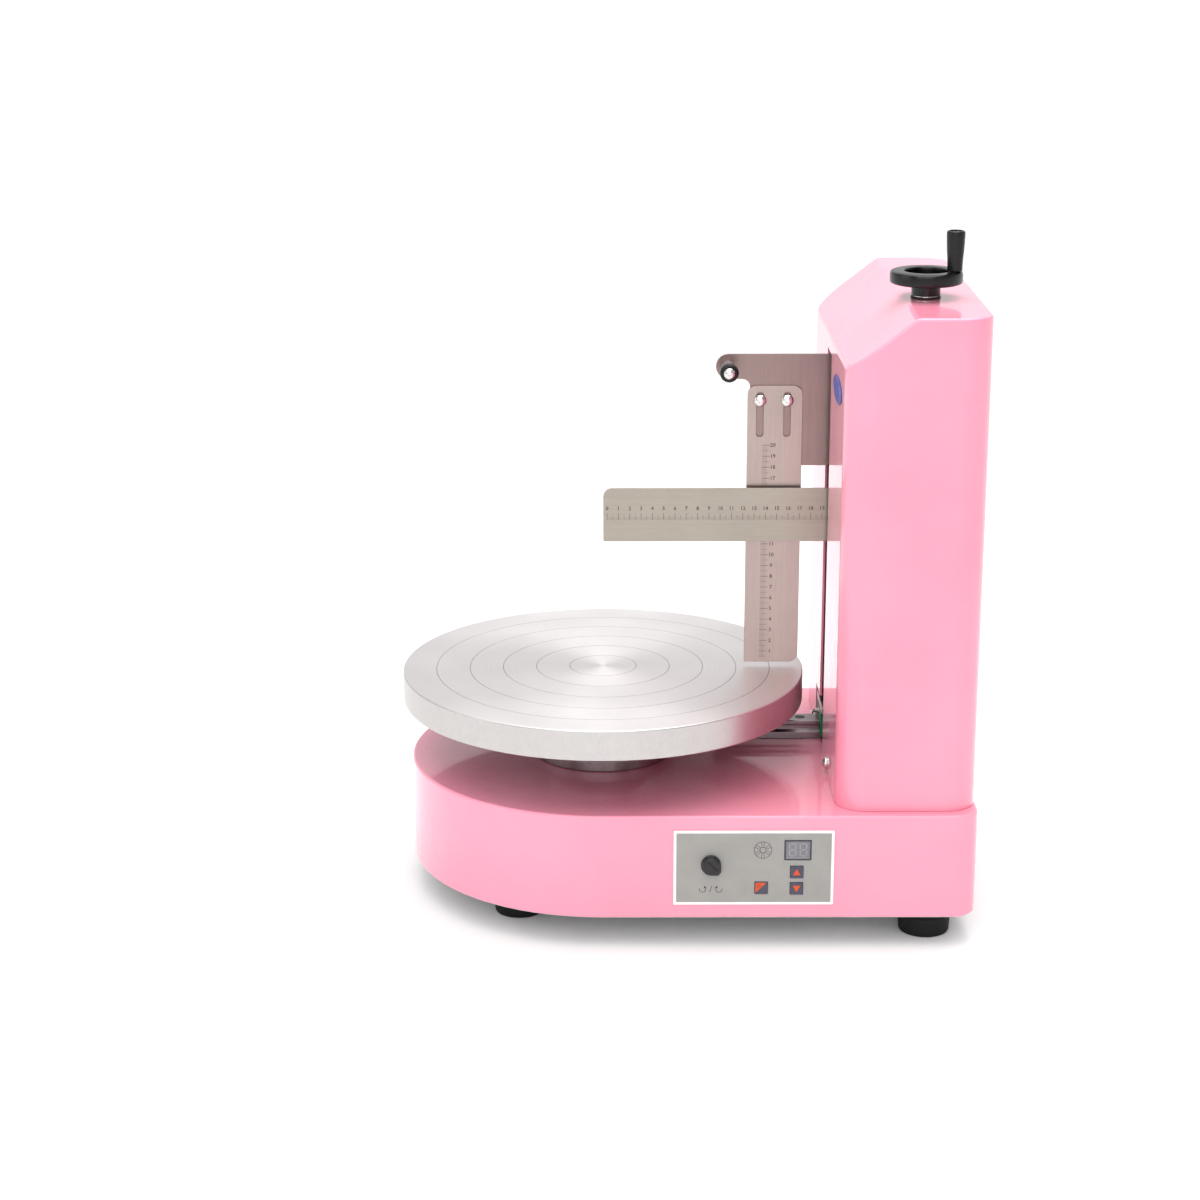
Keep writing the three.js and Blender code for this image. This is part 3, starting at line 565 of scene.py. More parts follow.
def baseShape(inset, drop):
    low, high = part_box("base_housing")
    low = low + Vector((inset, inset, -drop))
    high = high - Vector((inset, inset, inset))
    half = (high.y - low.y) / 2
    middle = low.x + half
    mesh = boxMesh(low, high)
    bevelEdges(mesh, edgesAlong(mesh, 2, lambda spot: spot.x < middle), half * 0.9995, 56)
    rear = baseCasing["rearCorner"] - inset
    return bevelEdges(mesh, edgesAlong(mesh, 2, lambda spot: spot.x > high.x - 1 * mm), rear, 12)


def makeBaseCasing():
    wall = baseCasing["wall"]
    shell = softenSharp(baseShape(0, 0), baseCasing["edge"], 4, 60)
    low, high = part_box("base_housing")
    hole = standAt(rodMesh(baseCasing["bearingHole"], 40 * mm, 64),
                   tableAxis + Vector((0, 0, high.z - 20 * mm)))
    panelLow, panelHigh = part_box("panel_overlay")
    inX, inZ = baseCasing["panelOpening"]
    panelHole = boxMesh((panelLow.x + inX, low.y - 5 * mm, panelLow.z + inZ),
                        (panelHigh.x - inX, low.y + 6 * mm, panelHigh.z - inZ))
    inletLow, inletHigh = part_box("power_inlet")
    inletHole = boxMesh((inletLow.x + 8.3 * mm, high.y - 6 * mm, inletLow.z + 3.2 * mm),
                        (inletHigh.x - 8.3 * mm, high.y + 5 * mm, inletHigh.z - 3.2 * mm))
    casing = carve(shell, [baseShape(wall, 10 * mm), hole, panelHole, inletHole])
    finishPiece("base_casing", casing, "base_housing", "paint")


makeBaseCasing()
print("base casing")


# Column casing

columnCasing = {
    "wall": 2 * mm,
    "corner": 26 * mm,
    "edge": 3 * mm,
    "slantRun": 56 * mm,
    "slantDrop": 43.4 * mm,
    "slotHalf": 19 * mm,
    "slotTop": 57 * mm,          # below the column's top
    "notchWidth": 38 * mm,
    "notchHeight": 43 * mm,
    "boltHole": 3.6 * mm,
}


def columnShape(inset, drop):
    low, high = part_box("column_shell")
    slant = Vector((-columnCasing["slantDrop"], 0, columnCasing["slantRun"])).normalized()
    foot = Vector((low.x, 0, high.z - columnCasing["slantDrop"])) - slant * inset
    low = low + Vector((inset, inset, -drop))
    high = high - Vector((inset, inset, inset))
    mesh = boxMesh(low, high)
    bevelEdges(mesh, edgesAlong(mesh, 2), columnCasing["corner"] - inset, 14)
    everything = mesh.verts[:] + mesh.edges[:] + mesh.faces[:]
    bmesh.ops.bisect_plane(mesh, geom=everything, plane_co=foot, plane_no=slant, clear_outer=True)
    bmesh.ops.contextual_create(mesh, geom=[edge for edge in mesh.edges if edge.is_boundary])
    bmesh.ops.recalc_face_normals(mesh, faces=mesh.faces[:])
    return mesh


def makeColumnCasing():
    low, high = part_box("column_shell")
    middle = (low.y + high.y) / 2
    shell = columnShape(0, 0)
    floor = low.z + 1 * mm
    rim = [edge for edge in shell.edges
           if edge.calc_face_angle(0) > math.radians(20) and min(vert.co.z for vert in edge.verts) > floor]
    bevelEdges(shell, rim, columnCasing["edge"], 5)
    slotHalf = columnCasing["slotHalf"]
    slot = boxMesh((low.x - 5 * mm, middle - slotHalf, low.z - 5 * mm),
                   (low.x + 7 * mm, middle + slotHalf, high.z - columnCasing["slotTop"]))
    notch = boxMesh((low.x - 6 * mm, middle, low.z - 6 * mm),
                    (low.x + 8 * mm, middle + slotHalf + columnCasing["notchWidth"],
                     low.z + columnCasing["notchHeight"]))
    screw = centreOf("lead_screw")
    screwHole = standAt(rodMesh(7 * mm, 30 * mm, 40), (screw.x, screw.y, high.z - 15 * mm))
    boltHoles = [standAt(rodMesh(columnCasing["boltHole"], 20 * mm, 24),
                         centreOf(node) - Vector((15 * mm, 0, 0)),
                         (1, 0, 0)) for node in ("column_bolt_front", "column_bolt_rear")]
    casing = carve(shell, [columnShape(columnCasing["wall"], 10 * mm), slot, notch, screwHole,
                           *boltHoles])
    finishPiece("column_casing", casing, "column_shell", "paint")


makeColumnCasing()
print("column casing")


# Round table, its hub and the bearing housing

roundTable = {
    "grooves": [30, 60, 90, 120, 150],    # mm from the axis
    "grooveHalf": 0.36 * mm,
    "grooveDepth": 0.25 * mm,
    "edge": 1.2 * mm,
    "lip": 8 * mm,
    "plate": 8 * mm,
    "boss": 60 * mm,
    "spindleBore": 10.3 * mm,
    "steps": 192,
}


def makeTable():
    radius = (tableHigh.x - tableLow.x) / 2
    top = tableHigh.z
    bottom = tableLow.z
    edge = roundTable["edge"]
    under = top - roundTable["plate"]
    half = roundTable["grooveHalf"]
    bore = roundTable["spindleBore"]
    floor = under - 4.9 * mm
    topLine = []
    for ring in reversed(roundTable["grooves"]):
        at = ring * mm
        topLine += [(at + half, top), (at, top - roundTable["grooveDepth"]), (at - half, top)]
    rounded = bend(radius - edge, top - edge, edge, (90, 67.5, 45, 22.5, 0))
    low = bend(radius - edge, bottom + edge, edge, (180, 150, 120, 90))
    inner = radius - roundTable["lip"]
    profile = [(0, floor), (9 * mm, floor), (bore, floor), (bore, bottom),
               (roundTable["boss"] - 3 * mm, bottom), (roundTable["boss"], under),
               (inner - 3 * mm, under), (inner, bottom + 0.8 * mm), (inner + 0.8 * mm, bottom), *low,
               (radius, bottom + 2 * mm), (radius, top - 2 * mm), *rounded,
               (radius - edge - 0.5 * mm, top), *topLine, (6 * mm, top), (0, top)]
    mesh = turnedMesh(profile, roundTable["steps"])
    for face in mesh.faces:
        centre = face.calc_center_median()
        out = math.hypot(centre.x, centre.y)
        groove = min(abs(out - ring * mm) for ring in roundTable["grooves"]) < half
        # Faces in the grooves take the darker grey, which is painted shade inside the grooves
        if centre.z > top - 0.3 * mm and groove:
            face.material_index = 2
        elif centre.z > top - edge * 0.35:
            face.material_index = 0
        elif out > inner + 0.2 * mm:
            face.material_index = 1
        else:
            # The underside takes the dark cast grey, which is painted shade under the table
            face.material_index = 3
    standAt(mesh, tableAxis)
    finishPiece("round_table", mesh, "turntable", "tableFace", "rim", "tableGroovePaintedShade", "castAndPaintedShade")


def makeHub():
    low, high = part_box("turntable_hub")
    wide = (high.x - low.x) / 2
    step = low.z + 8 * mm
    bore = roundTable["spindleBore"]
    profile = [(28 * mm, low.z), (28 * mm, step), (wide, step), (wide, high.z), (bore, high.z),
               (bore, low.z)]
    hub = standAt(turnedMesh(profile, 128, 0.8 * mm), tableAxis)
    finishPiece("table_hub_turned", hub, "turntable_hub", "rim")


def makeBearingHousing():
    low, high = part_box("bearing_housing")
    wide = (high.x - low.x) / 2
    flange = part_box("base_housing")[1].z + 0.3 * mm
    bore = 21.3 * mm
    profile = [(31 * mm, low.z), (31 * mm, flange), (wide, flange), (wide, flange + 9.5 * mm),
               (wide - 3 * mm, flange + 11.5 * mm), (40 * mm, flange + 11.5 * mm), (40 * mm, high.z),
               (bore, high.z), (bore, high.z - 13.7 * mm), (17 * mm, high.z - 14.3 * mm),
               (17 * mm, low.z + 16.3 * mm), (bore, low.z + 16.3 * mm), (bore, low.z)]
    housing = standAt(turnedMesh(profile, 128, 0.7 * mm), tableAxis)
    finishPiece("bearing_housing_turned", housing, "bearing_housing", "machined")
    screws = bmesh.new()
    for turn in range(6):
        spot = tableAxis + Vector((*around(0, 0, 52 * mm, math.radians(30 + 60 * turn)),
                                   flange + 11.4 * mm))
        addTo(screws, standAt(socketHead(4.2 * mm, 4 * mm, 2.2 * mm), spot))
    addHardware("bearing_screws", screws, "bearing_housing")


# Screw heads, standing on Z = 0 and looking along +Z
def socketHead(radius, height, socket):
    head = turnedMesh(ringProfile(0, radius, 0, height), 32, 0.35 * mm)
    hexagon = standAt(rodMesh(socket, height, 6), (0, 0, height * 0.45))
    return carve(head, [hexagon])


def buttonHead(radius, height, socket):
    dome = [(radius * math.cos(math.radians(a)),
             height * (0.22 + 0.78 * math.sin(math.radians(a)))) for a in (0, 14, 28, 42, 56, 68)]
    profile = [(0, 0), (radius * 0.97, 0), *dome, (0, height)]
    head = turnedMesh(profile, 40)
    hexagon = standAt(rodMesh(socket, height, 6), (0, 0, height * 0.42))
    return softenSharp(carve(head, [hexagon]), 0.12 * mm, 2, 50)


makeTable()
makeHub()
makeBearingHousing()
print("table")


# Feet

rubberFoot = {"ribs": 3, "ribDepth": 0.5 * mm, "edge": 1.8 * mm, "recess": 7 * mm}


def makeFoot(node):
    low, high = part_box(node)
    tall = high.z - low.z
    wide = (high.x - low.x) / 2
    narrow = wide - 2 * mm
    slope = lambda height: narrow + (wide - narrow) * height / tall
    side = [(narrow - 1.6 * mm, 0), (narrow - 0.5 * mm, 0.5 * mm), (slope(1.6 * mm), 1.7 * mm)]
    for rib in range(rubberFoot["ribs"]):
        height = tall - 9 * mm + rib * 2.6 * mm
        side += [(slope(height), height), (slope(height) - rubberFoot["ribDepth"], height + 0.5 * mm),
                 (slope(height), height + 1.0 * mm)]
    side += [(wide, tall - 1 * mm), (wide - 1 * mm, tall)]
    recess = rubberFoot["recess"]
    profile = [(recess, 0), *side, (3 * mm, tall), (3 * mm, 10 * mm), (recess, 10 * mm)]
    centre = centreOf(node)
    spot = Vector((centre.x, centre.y, low.z))
    finishPiece(node + "_moulded", standAt(turnedMesh(profile, 72), spot), node, "rubber")
    head = standAt(socketHead(5 * mm, 4 * mm, 2.5 * mm), spot + Vector((0, 0, 9.9 * mm)), (0, 0, -1))
    addHardware(node + "_screw", head, node)


for corner in ("front_left", "front_right", "rear_left", "rear_right"):
    makeFoot("foot_" + corner)
print("feet")


# Handwheel

handWheel = {"hubRadius": 12.2 * mm, "hubHeight": 11 * mm, "dish": 18.2 * mm, "dishFloor": 12 * mm}


def makeHandwheel():
    low, high, axis = sizesOf("handwheel")
    radius = (high.x - low.x) / 2
    tall = high.z - low.z
    rim = handWheel["hubHeight"] - 1 * mm
    hub = handWheel["hubRadius"]
    dish = handWheel["dish"]
    floor = handWheel["dishFloor"]
    profile = [(4.3 * mm, 0), (hub, 0), (hub, rim - 1.5 * mm), (hub + 0.5 * mm, rim - 0.4 * mm),
               (hub + 1.6 * mm, rim), (radius - 2 * mm, rim), (radius - 0.4 * mm, rim + 0.8 * mm),
               (radius, rim + 2.4 * mm), (radius, tall - 2.6 * mm), (radius - 0.8 * mm, tall - 0.8 * mm),
               (radius - 2.6 * mm, tall), (dish + 1.8 * mm, tall), (dish + 0.5 * mm, tall - 0.5 * mm),
               (dish, tall - 1.8 * mm), (dish, floor + 1 * mm), (dish - 1 * mm, floor), (6.5 * mm, floor),
               (6.5 * mm, floor - 0.6 * mm), (4.3 * mm, floor - 0.6 * mm)]
    wheel = standAt(turnedMesh(profile, 112), (axis.x, axis.y, low.z))
    crank = centreOf("crank_handle")
    pinHole = standAt(rodMesh(3.4 * mm, 40 * mm, 32), (crank.x, crank.y, low.z))
    finishPiece("handwheel_moulded", carve(wheel, [pinHole]), "handwheel", "wheel")
    cap = standAt(turnedMesh(ringProfile(0, 5.8 * mm, 0, 1.1 * mm), 40, 0.25 * mm),
                  (axis.x, axis.y, low.z + floor - 0.55 * mm))
    addHardware("handwheel_cap", cap, "handwheel")


def makeWasher():
    low, high, axis = sizesOf("handwheel_washer")
    radius = (high.x - low.x) / 2
    thick = high.z - low.z
    bore = 4.4 * mm
    lower = turnedMesh(ringProfile(bore, radius + 1.2 * mm, 0, 0.63 * thick), 72, 0.15 * mm)
    upper = turnedMesh(ringProfile(bore, radius - 0.6 * mm, 0.65 * thick, thick + 0.5 * mm), 72, 0.2 * mm)
    standAt(lower, (axis.x, axis.y, low.z))
    standAt(upper, (axis.x, axis.y, low.z))
    finishPiece("handwheel_washer_dark", lower, "handwheel_washer", "black", slot="black_plastic")
    finishPiece("handwheel_washer_bright", upper, "handwheel_washer", "bright", replaces=False)


def makeCrank():
    low, high, axis = sizesOf("crank_handle")
    wide = (high.x - low.x) / 2
    tall = high.z - low.z
    foot = 6.4 * mm
    bore = 3.3 * mm
    profile = [(bore, 0), (foot - 0.8 * mm, 0), (foot, 0.8 * mm), (foot + 0.05 * mm, 5 * mm),
               (foot + 0.35 * mm, 11 * mm), (foot + 0.85 * mm, 17 * mm), (wide - 0.2 * mm, 24 * mm),
               (wide, 29 * mm), (wide, tall - 1.4 * mm), (wide - 0.45 * mm, tall - 0.4 * mm),
               (wide - 1.4 * mm, tall), (wide - 1.9 * mm, tall), (wide - 2.1 * mm, tall - 0.4 * mm),
               (wide - 2.1 * mm, tall - 3.4 * mm), (bore, tall - 3.4 * mm)]
    handle = standAt(turnedMesh(profile, 72), (axis.x, axis.y, low.z))
    finishPiece("crank_handle_moulded", handle, "crank_handle", "handle")
    pinLow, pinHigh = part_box("crank_pin")
    pinTall = pinHigh.z - pinLow.z
    headRadius = (pinHigh.x - pinLow.x) / 2
    headBottom = pinTall - 2.4 * mm
    pin = turnedMesh([(0, 0), (3 * mm, 0), (3 * mm, headBottom), (headRadius, headBottom),
                      (headRadius, pinTall - 0.5 * mm), (headRadius - 0.5 * mm, pinTall), (0, pinTall)],
                     48)
    slit = boxMesh((-0.6 * mm, -8 * mm, pinTall - 1.1 * mm), (0.6 * mm, 8 * mm, pinTall + 2 * mm))
    pin = standAt(carve(pin, [slit]), (axis.x, axis.y, pinLow.z))
    finishPiece("crank_pin_turned", pin, "crank_pin", "bright")


makeHandwheel()
makeWasher()
makeCrank()
print("handwheel")


# Scrapers with their rulers

ruler = {
    "pitch": 10 * mm,
    "digit": 4.7 * mm,
    "bold": 0.1 * mm,
    "thin": 0.13 * mm,
    "half": 0.3 * mm,
    "thick": 0.42 * mm,
    "proud": 0.03 * mm,
}


# Digits lying in XZ and looking along -Y, centred on a point
def digitMesh(text, size, point):
    curve = bpy.data.curves.new("digits", "FONT")
    curve.body = text
    curve.size = size
    curve.align_x = "CENTER"
    curve.align_y = "CENTER"
    curve.resolution_u = 2
    curve.extrude = ruler["proud"]
    curve.offset = ruler["bold"]
    item = inScene("digits", curve)
    mesh = evaluatedMesh(item)
    bpy.data.objects.remove(item)
    bpy.data.curves.remove(curve)
    bmesh.ops.remove_doubles(mesh, verts=mesh.verts[:], dist=1e-7)
    mesh.transform(Matrix.Translation(point) @ Matrix.Rotation(math.radians(90), 4, "X"))
    return mesh


def tick(x0, x1, face, z0, z1):
    return boxMesh((x0, face - ruler["proud"], z0), (x1, face + ruler["proud"], z1))


def tickWidth(step):
    if step % 10 == 0:
        return ruler["thick"]
    return ruler["half"] if step % 5 == 0 else ruler["thin"]


def makeTopScraper():
    blade = softenedCopy("top_scraper", 0.25 * mm)
    finishPiece("top_scraper_blade", blade, "top_scraper", "levelBrushed")
    low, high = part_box("top_scraper")
    zero = low.x + 3.5 * mm
    marks = bmesh.new()
    count = int((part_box("column_shell")[0].x + 30 * mm - zero) / mm)
    for step in range(count):
        whole = step % 10 == 0
        half = tickWidth(step) / 2
        head = high.z - (22.8 if whole else (24.6 if step % 5 == 0 else 25.8)) * mm
        x = zero + step * mm
        addTo(marks, tick(x - half, x + half, low.y, high.z - 29 * mm, head))
    for number in range(int(count / 10) + 1):
        spot = (zero + number * ruler["pitch"], low.y, high.z - 18.4 * mm)
        addTo(marks, digitMesh(str(number), ruler["digit"], spot))
    addPrint("top_scraper_marks", marks, "top_scraper", "etch")


def makeSideScraper():
    blade = softenedCopy("side_scraper", 0.25 * mm)
    finishPiece("side_scraper_plate", blade, "side_scraper", "uprightBrushed")
    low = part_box("side_scraper")[0]
    zero = low.z + 0.2 * mm
    left = low.x + 13.5 * mm
    marks = bmesh.new()
    for step in range(5, 201):
        whole = step % 10 == 0
        half = tickWidth(step) / 2
        right = left + (7 if whole else (5.6 if step % 5 == 0 else 4.4)) * mm
        z = zero + step * mm
        addTo(marks, tick(left, right, low.y, z - half, z + half))
    for number in range(1, 21):
        spot = (low.x + 23 * mm, low.y, zero + number * ruler["pitch"])
        addTo(marks, digitMesh(str(number), ruler["digit"], spot))
    addPrint("side_scraper_marks", marks, "side_scraper", "etch")


makeTopScraper()
makeSideScraper()
print("scrapers")


# Bracket, its screws and the grip

def shaftAndHead(node, headRadius, headHeight, socket, shaftRadius):
    low, high, centre = sizesOf(node)
    front = Vector((centre.x, low.y + headHeight, centre.z))
    piece = standAt(buttonHead(headRadius, headHeight, socket), front, (0, -1, 0))
    shaft = standAt(rodMesh(shaftRadius, high.y - front.y + 0.4 * mm, 28),
                    front - Vector((0, 0.4 * mm, 0)), (0, 1, 0))
    return addTo(piece, softenSharp(shaft, 0.3 * mm, 2))


def hexNut(across, thick, bore):
    nut = rodMesh(across / math.sqrt(3), thick, 6)
    hole = standAt(rodMesh(bore, thick * 2, 24), (0, 0, -thick / 2))
    return softenSharp(carve(nut, [hole]), 0.25 * mm, 2)


def makeBracket():
    plate = softenedCopy("bracket_plate", 0.3 * mm)
    # The plate's darker, pinker colour is painted shade and a painted reflection of the pink casing
    finishPiece("bracket_plate_brushed", plate, "bracket_plate", "bracketBrushedPaintedShadeAndReflection")
    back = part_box("bracket_plate")[1].y
    for node in ("clamp_screw_1", "clamp_screw_2"):
        finishPiece(node + "_head", shaftAndHead(node, 5.45 * mm, 3.3 * mm, 1.9 * mm, 3 * mm), node,
                    "bright")
        centre = centreOf(node)
        nut = standAt(hexNut(8 * mm, 2.3 * mm, 3.05 * mm), (centre.x, back + 0.05 * mm, centre.z),
                      (0, 1, 0))
        addHardware(node + "_nut", nut, "bracket_plate")
    for node in ("scraper_screw_1", "scraper_screw_2"):
        low, high, centre = sizesOf(node)
        screw = standAt(rodMesh(2.4 * mm, high.y - low.y - 2.2 * mm, 28), (centre.x, low.y, centre.z),
                        (0, 1, 0))
        head = standAt(buttonHead(4.4 * mm, 2.2 * mm, 1.5 * mm), (centre.x, high.y - 2.2 * mm, centre.z),
                       (0, 1, 0))
        finishPiece(node + "_turned", addTo(softenSharp(screw, 0.2 * mm, 2), head), node, "bright")


def makeGrip():
    low, high, centre = sizesOf("grip_sleeve")
    radius = (high.x - low.x) / 2
    long = high.y - low.y
    bore = 3.3 * mm
    profile = [(bore, 0), (radius - 0.5 * mm, 0), (radius, 0.5 * mm), (radius, long - 5 * mm),
               (radius - 0.35 * mm, long - 4.6 * mm), (radius - 0.35 * mm, long - 4 * mm),
               (radius, long - 3.6 * mm), (radius, long - 0.5 * mm), (radius - 0.5 * mm, long),
               (bore, long)]
    sleeve = standAt(turnedMesh(profile, 64), (centre.x, high.y, centre.z), (0, -1, 0))
    finishPiece("grip_sleeve_turned", sleeve, "grip_sleeve", "machined")
    low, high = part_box("grip_ring")
    outer = (high.x - low.x) / 2
    long = high.y - low.y
    profile = [(bore, 0), (outer - 1.6 * mm, 0), (outer - 0.5 * mm, 0.5 * mm), (outer, 1.6 * mm),
               (outer, long - 1.8 * mm), (outer - 0.6 * mm, long - 0.6 * mm), (outer - 1.8 * mm, long),
               (5.4 * mm, long), (5.2 * mm, long - 0.8 * mm), (bore, long - 0.8 * mm)]
    ring = standAt(turnedMesh(profile, 64), (centre.x, high.y, centre.z), (0, -1, 0))
    finishPiece("grip_ring_moulded", ring, "grip_ring", "handle")
    finishPiece("grip_screw_head", shaftAndHead("grip_screw", 4.9 * mm, 2.6 * mm, 1.9 * mm, 3 * mm),
                "grip_screw", "bright")


def makeColumnBolts():
    for node in ("column_bolt_front", "column_bolt_rear"):
        low, high, centre = sizesOf(node)
        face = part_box("column_shell")[0].x - 0.3 * mm
        head = standAt(buttonHead(5.2 * mm, face - low.x, 1.9 * mm), (face, centre.y, centre.z),
                       (-1, 0, 0))
        washer = turnedMesh(ringProfile(3 * mm, 6 * mm, 0, 0.5 * mm), 40, 0.12 * mm)
        shaft = standAt(rodMesh(3 * mm, high.x - face + 0.3 * mm, 28),
                        (face - 0.3 * mm, centre.y, centre.z), (1, 0, 0))
        addTo(head, softenSharp(shaft, 0.3 * mm, 2))
        addTo(head, standAt(washer, (face + 0.2 * mm, centre.y, centre.z), (-1, 0, 0)))
        finishPiece(node + "_turned", head, node, "bright")


makeBracket()
makeGrip()
makeColumnBolts()
print("bracket and grip")


# Rail, block and post

railParts = {"pitch": 60 * mm, "first": 20 * mm, "plug": 4.6 * mm}


def makeRail():
    rail = softenedCopy("linear_rail", 0.2 * mm, 2)
    finishPiece("linear_rail_ground", rail, "linear_rail", "ground")
    low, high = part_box("linear_rail")
    middle = (low.y + high.y) / 2
    plugs = bmesh.new()
    x = low.x + railParts["first"]
    while x < high.x:
        plug = turnedMesh(ringProfile(0, railParts["plug"], 0, 2.5 * mm), 32, 0.25 * mm)
        addTo(plugs, standAt(plug, (x, middle, high.z - 2.6 * mm)))
        x += railParts["pitch"]
    finishPiece("rail_hole_plugs", plugs, "linear_rail", "black", replaces=False, slot="black_plastic")
    finishPiece("rail_block_ground", softenedCopy("rail_block", 0.4 * mm), "rail_block", "ground")
    for node in ("rail_cap_front", "rail_cap_rear"):
        finishPiece(node + "_moulded", softenedCopy(node, 0.4 * mm), node, "green")
    capLow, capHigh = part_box("rail_cap_front")
    nipple = turnedMesh([(0, 0), (2.6 * mm, 0), (2.6 * mm, 2 * mm), (1.5 * mm, 2.4 * mm),
                         (1.5 * mm, 3.6 * mm), (2.1 * mm, 4.2 * mm), (1.2 * mm, 6 * mm), (0, 6 * mm)], 28)
    spot = (capLow.x + 0.1 * mm, middle, capHigh.z - 5 * mm)
    addHardware("grease_nipple", standAt(nipple, spot, (-1, 0, 0)), "rail_cap_front")


def makePost():
    finishPiece("carriage_plate_zinc", softenedCopy("carriage_plate", 0.5 * mm), "carriage_plate", "zinc")
    finishPiece("side_post_machined", softenedCopy("side_post", 0.6 * mm), "side_post", "machined")
    low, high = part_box("carriage_plate")
    block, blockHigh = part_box("rail_block")
    screws = bmesh.new()
    for x in (block.x + 14 * mm, blockHigh.x - 14 * mm):
        for y in (low.y + 9 * mm, high.y - 7 * mm):
            addTo(screws, standAt(buttonHead(4.4 * mm, 2.6 * mm, 1.6 * mm), (x, y, high.z - 0.05 * mm)))
    addHardware("carriage_screws", screws, "carriage_plate")


rearScrews = {
    "fromSide": 34 * mm,
    "rows": [30 * mm, 190 * mm, 350 * mm],
    "head": 4 * mm,
    "proud": 1.8 * mm,
}


# Screws that hold the column's casing to the frame inside it
def makeRearScrews():
    low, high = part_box("column_shell")
    screws = bmesh.new()
    for side in (low.y + rearScrews["fromSide"], high.y - rearScrews["fromSide"]):
        for row in rearScrews["rows"]:
            head = buttonHead(rearScrews["head"], rearScrews["proud"], 1.3 * mm)
            addTo(screws, standAt(head, (high.x - 0.1 * mm, side, low.z + row), (1, 0, 0)))
    addHardware("rear_screws", screws, "column_shell")


makeRail()
makePost()
makeRearScrews()
print("rail")


# Control panel

panel = {
    "border": 2.3 * mm,
    "film": 0.15 * mm,
    "ink": 0.04 * mm,
}
panelLow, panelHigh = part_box("panel_overlay")


# A flat ring or part of one in XZ, about a point, a little proud of a face that looks along -Y
def arcStroke(centre, face, radius, width, start, sweep, steps=24):
    mesh = bmesh.new()
    front = face - panel["ink"]
    corners = [(radius - width / 2, front), (radius + width / 2, front),
               (radius + width / 2, face + panel["ink"]), (radius - width / 2, face + panel["ink"])]
    whole = abs(sweep) >= 360
    points = [mesh.verts.new((x, y, 0)) for x, y in corners]
    edges = [mesh.edges.new(pair) for pair in zip(points, points[1:] + points[:1])]
    geometry = points + edges
    if not whole:
        geometry.append(mesh.faces.new(points))
    bmesh.ops.rotate(mesh, verts=points, cent=(0, 0, 0), matrix=Matrix.Rotation(-math.radians(start), 3,
                                                                                "Y"))
    bmesh.ops.spin(mesh, geom=geometry, cent=(0, 0, 0), axis=(0, -1, 0), dvec=(0, 0, 0),
                   angle=math.radians(sweep), steps=steps, use_merge=whole, use_duplicate=False)
    bmesh.ops.remove_doubles(mesh, verts=mesh.verts[:], dist=1e-7)
    bmesh.ops.recalc_face_normals(mesh, faces=mesh.faces[:])
    mesh.transform(Matrix.Translation((centre[0], 0, centre[1])))
    return mesh


# A flat shape in XZ through its corners, as thick as the ink
def inkPlate(corners, face, proud=None):
    proud = proud or panel["ink"]
    mesh = bmesh.new()
    points = [mesh.verts.new((x, face + proud, z)) for x, z in corners]
    plate = mesh.faces.new(points)
    out = bmesh.ops.extrude_face_region(mesh, geom=[plate])
    moved = [item for item in out["geom"] if isinstance(item, bmesh.types.BMVert)]
    bmesh.ops.translate(mesh, verts=moved, vec=(0, -2 * proud, 0))
    bmesh.ops.recalc_face_normals(mesh, faces=mesh.faces[:])
    return mesh


def stroke(start, end, face, width):
    along = Vector((end[0] - start[0], end[1] - start[1])).normalized()
    side = Vector((-along.y, along.x)) * width / 2
    corners = [(start[0] + side.x, start[1] + side.y), (start[0] - side.x, start[1] - side.y),
               (end[0] - side.x, end[1] - side.y), (end[0] + side.x, end[1] + side.y)]
    return inkPlate(corners, face)


def grownBox(node, grow):
    low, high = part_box(node)
    return boxMesh((low.x - grow, low.y - 20 * mm, low.z - grow),
                   (high.x + grow, high.y + 5 * mm, high.z + grow))


def makePanelPlates():
    plate = softenedCopy("panel_overlay", 0.15 * mm, 2)
    finishPiece("panel_white_plate", plate, "panel_overlay", "whiteFilm")
    border = panel["border"]
    film = boxMesh((panelLow.x + border, panelLow.y - panel["film"], panelLow.z + border),
                   (panelHigh.x - border, panelLow.y + 0.3 * mm, panelHigh.z - border))
    bevelEdges(film, edgesAlong(film, 1), 0.8 * mm, 4)
    knob = centreOf("direction_knob")
    knobHole = standAt(rodMesh(3.6 * mm, 20 * mm, 32), (knob.x, panelLow.y - 10 * mm, knob.z), (0, 1, 0))
    holes = [grownBox(node, 0.3 * mm) for node in ("display_window", "power_button", "up_button",
                                                   "down_button")]
    film = softenSharp(carve(film, [knobHole, *holes]), 0.06 * mm, 2, 60)
    finishPiece("panel_grey_film", film, "panel_overlay", "greyFilm", replaces=False)


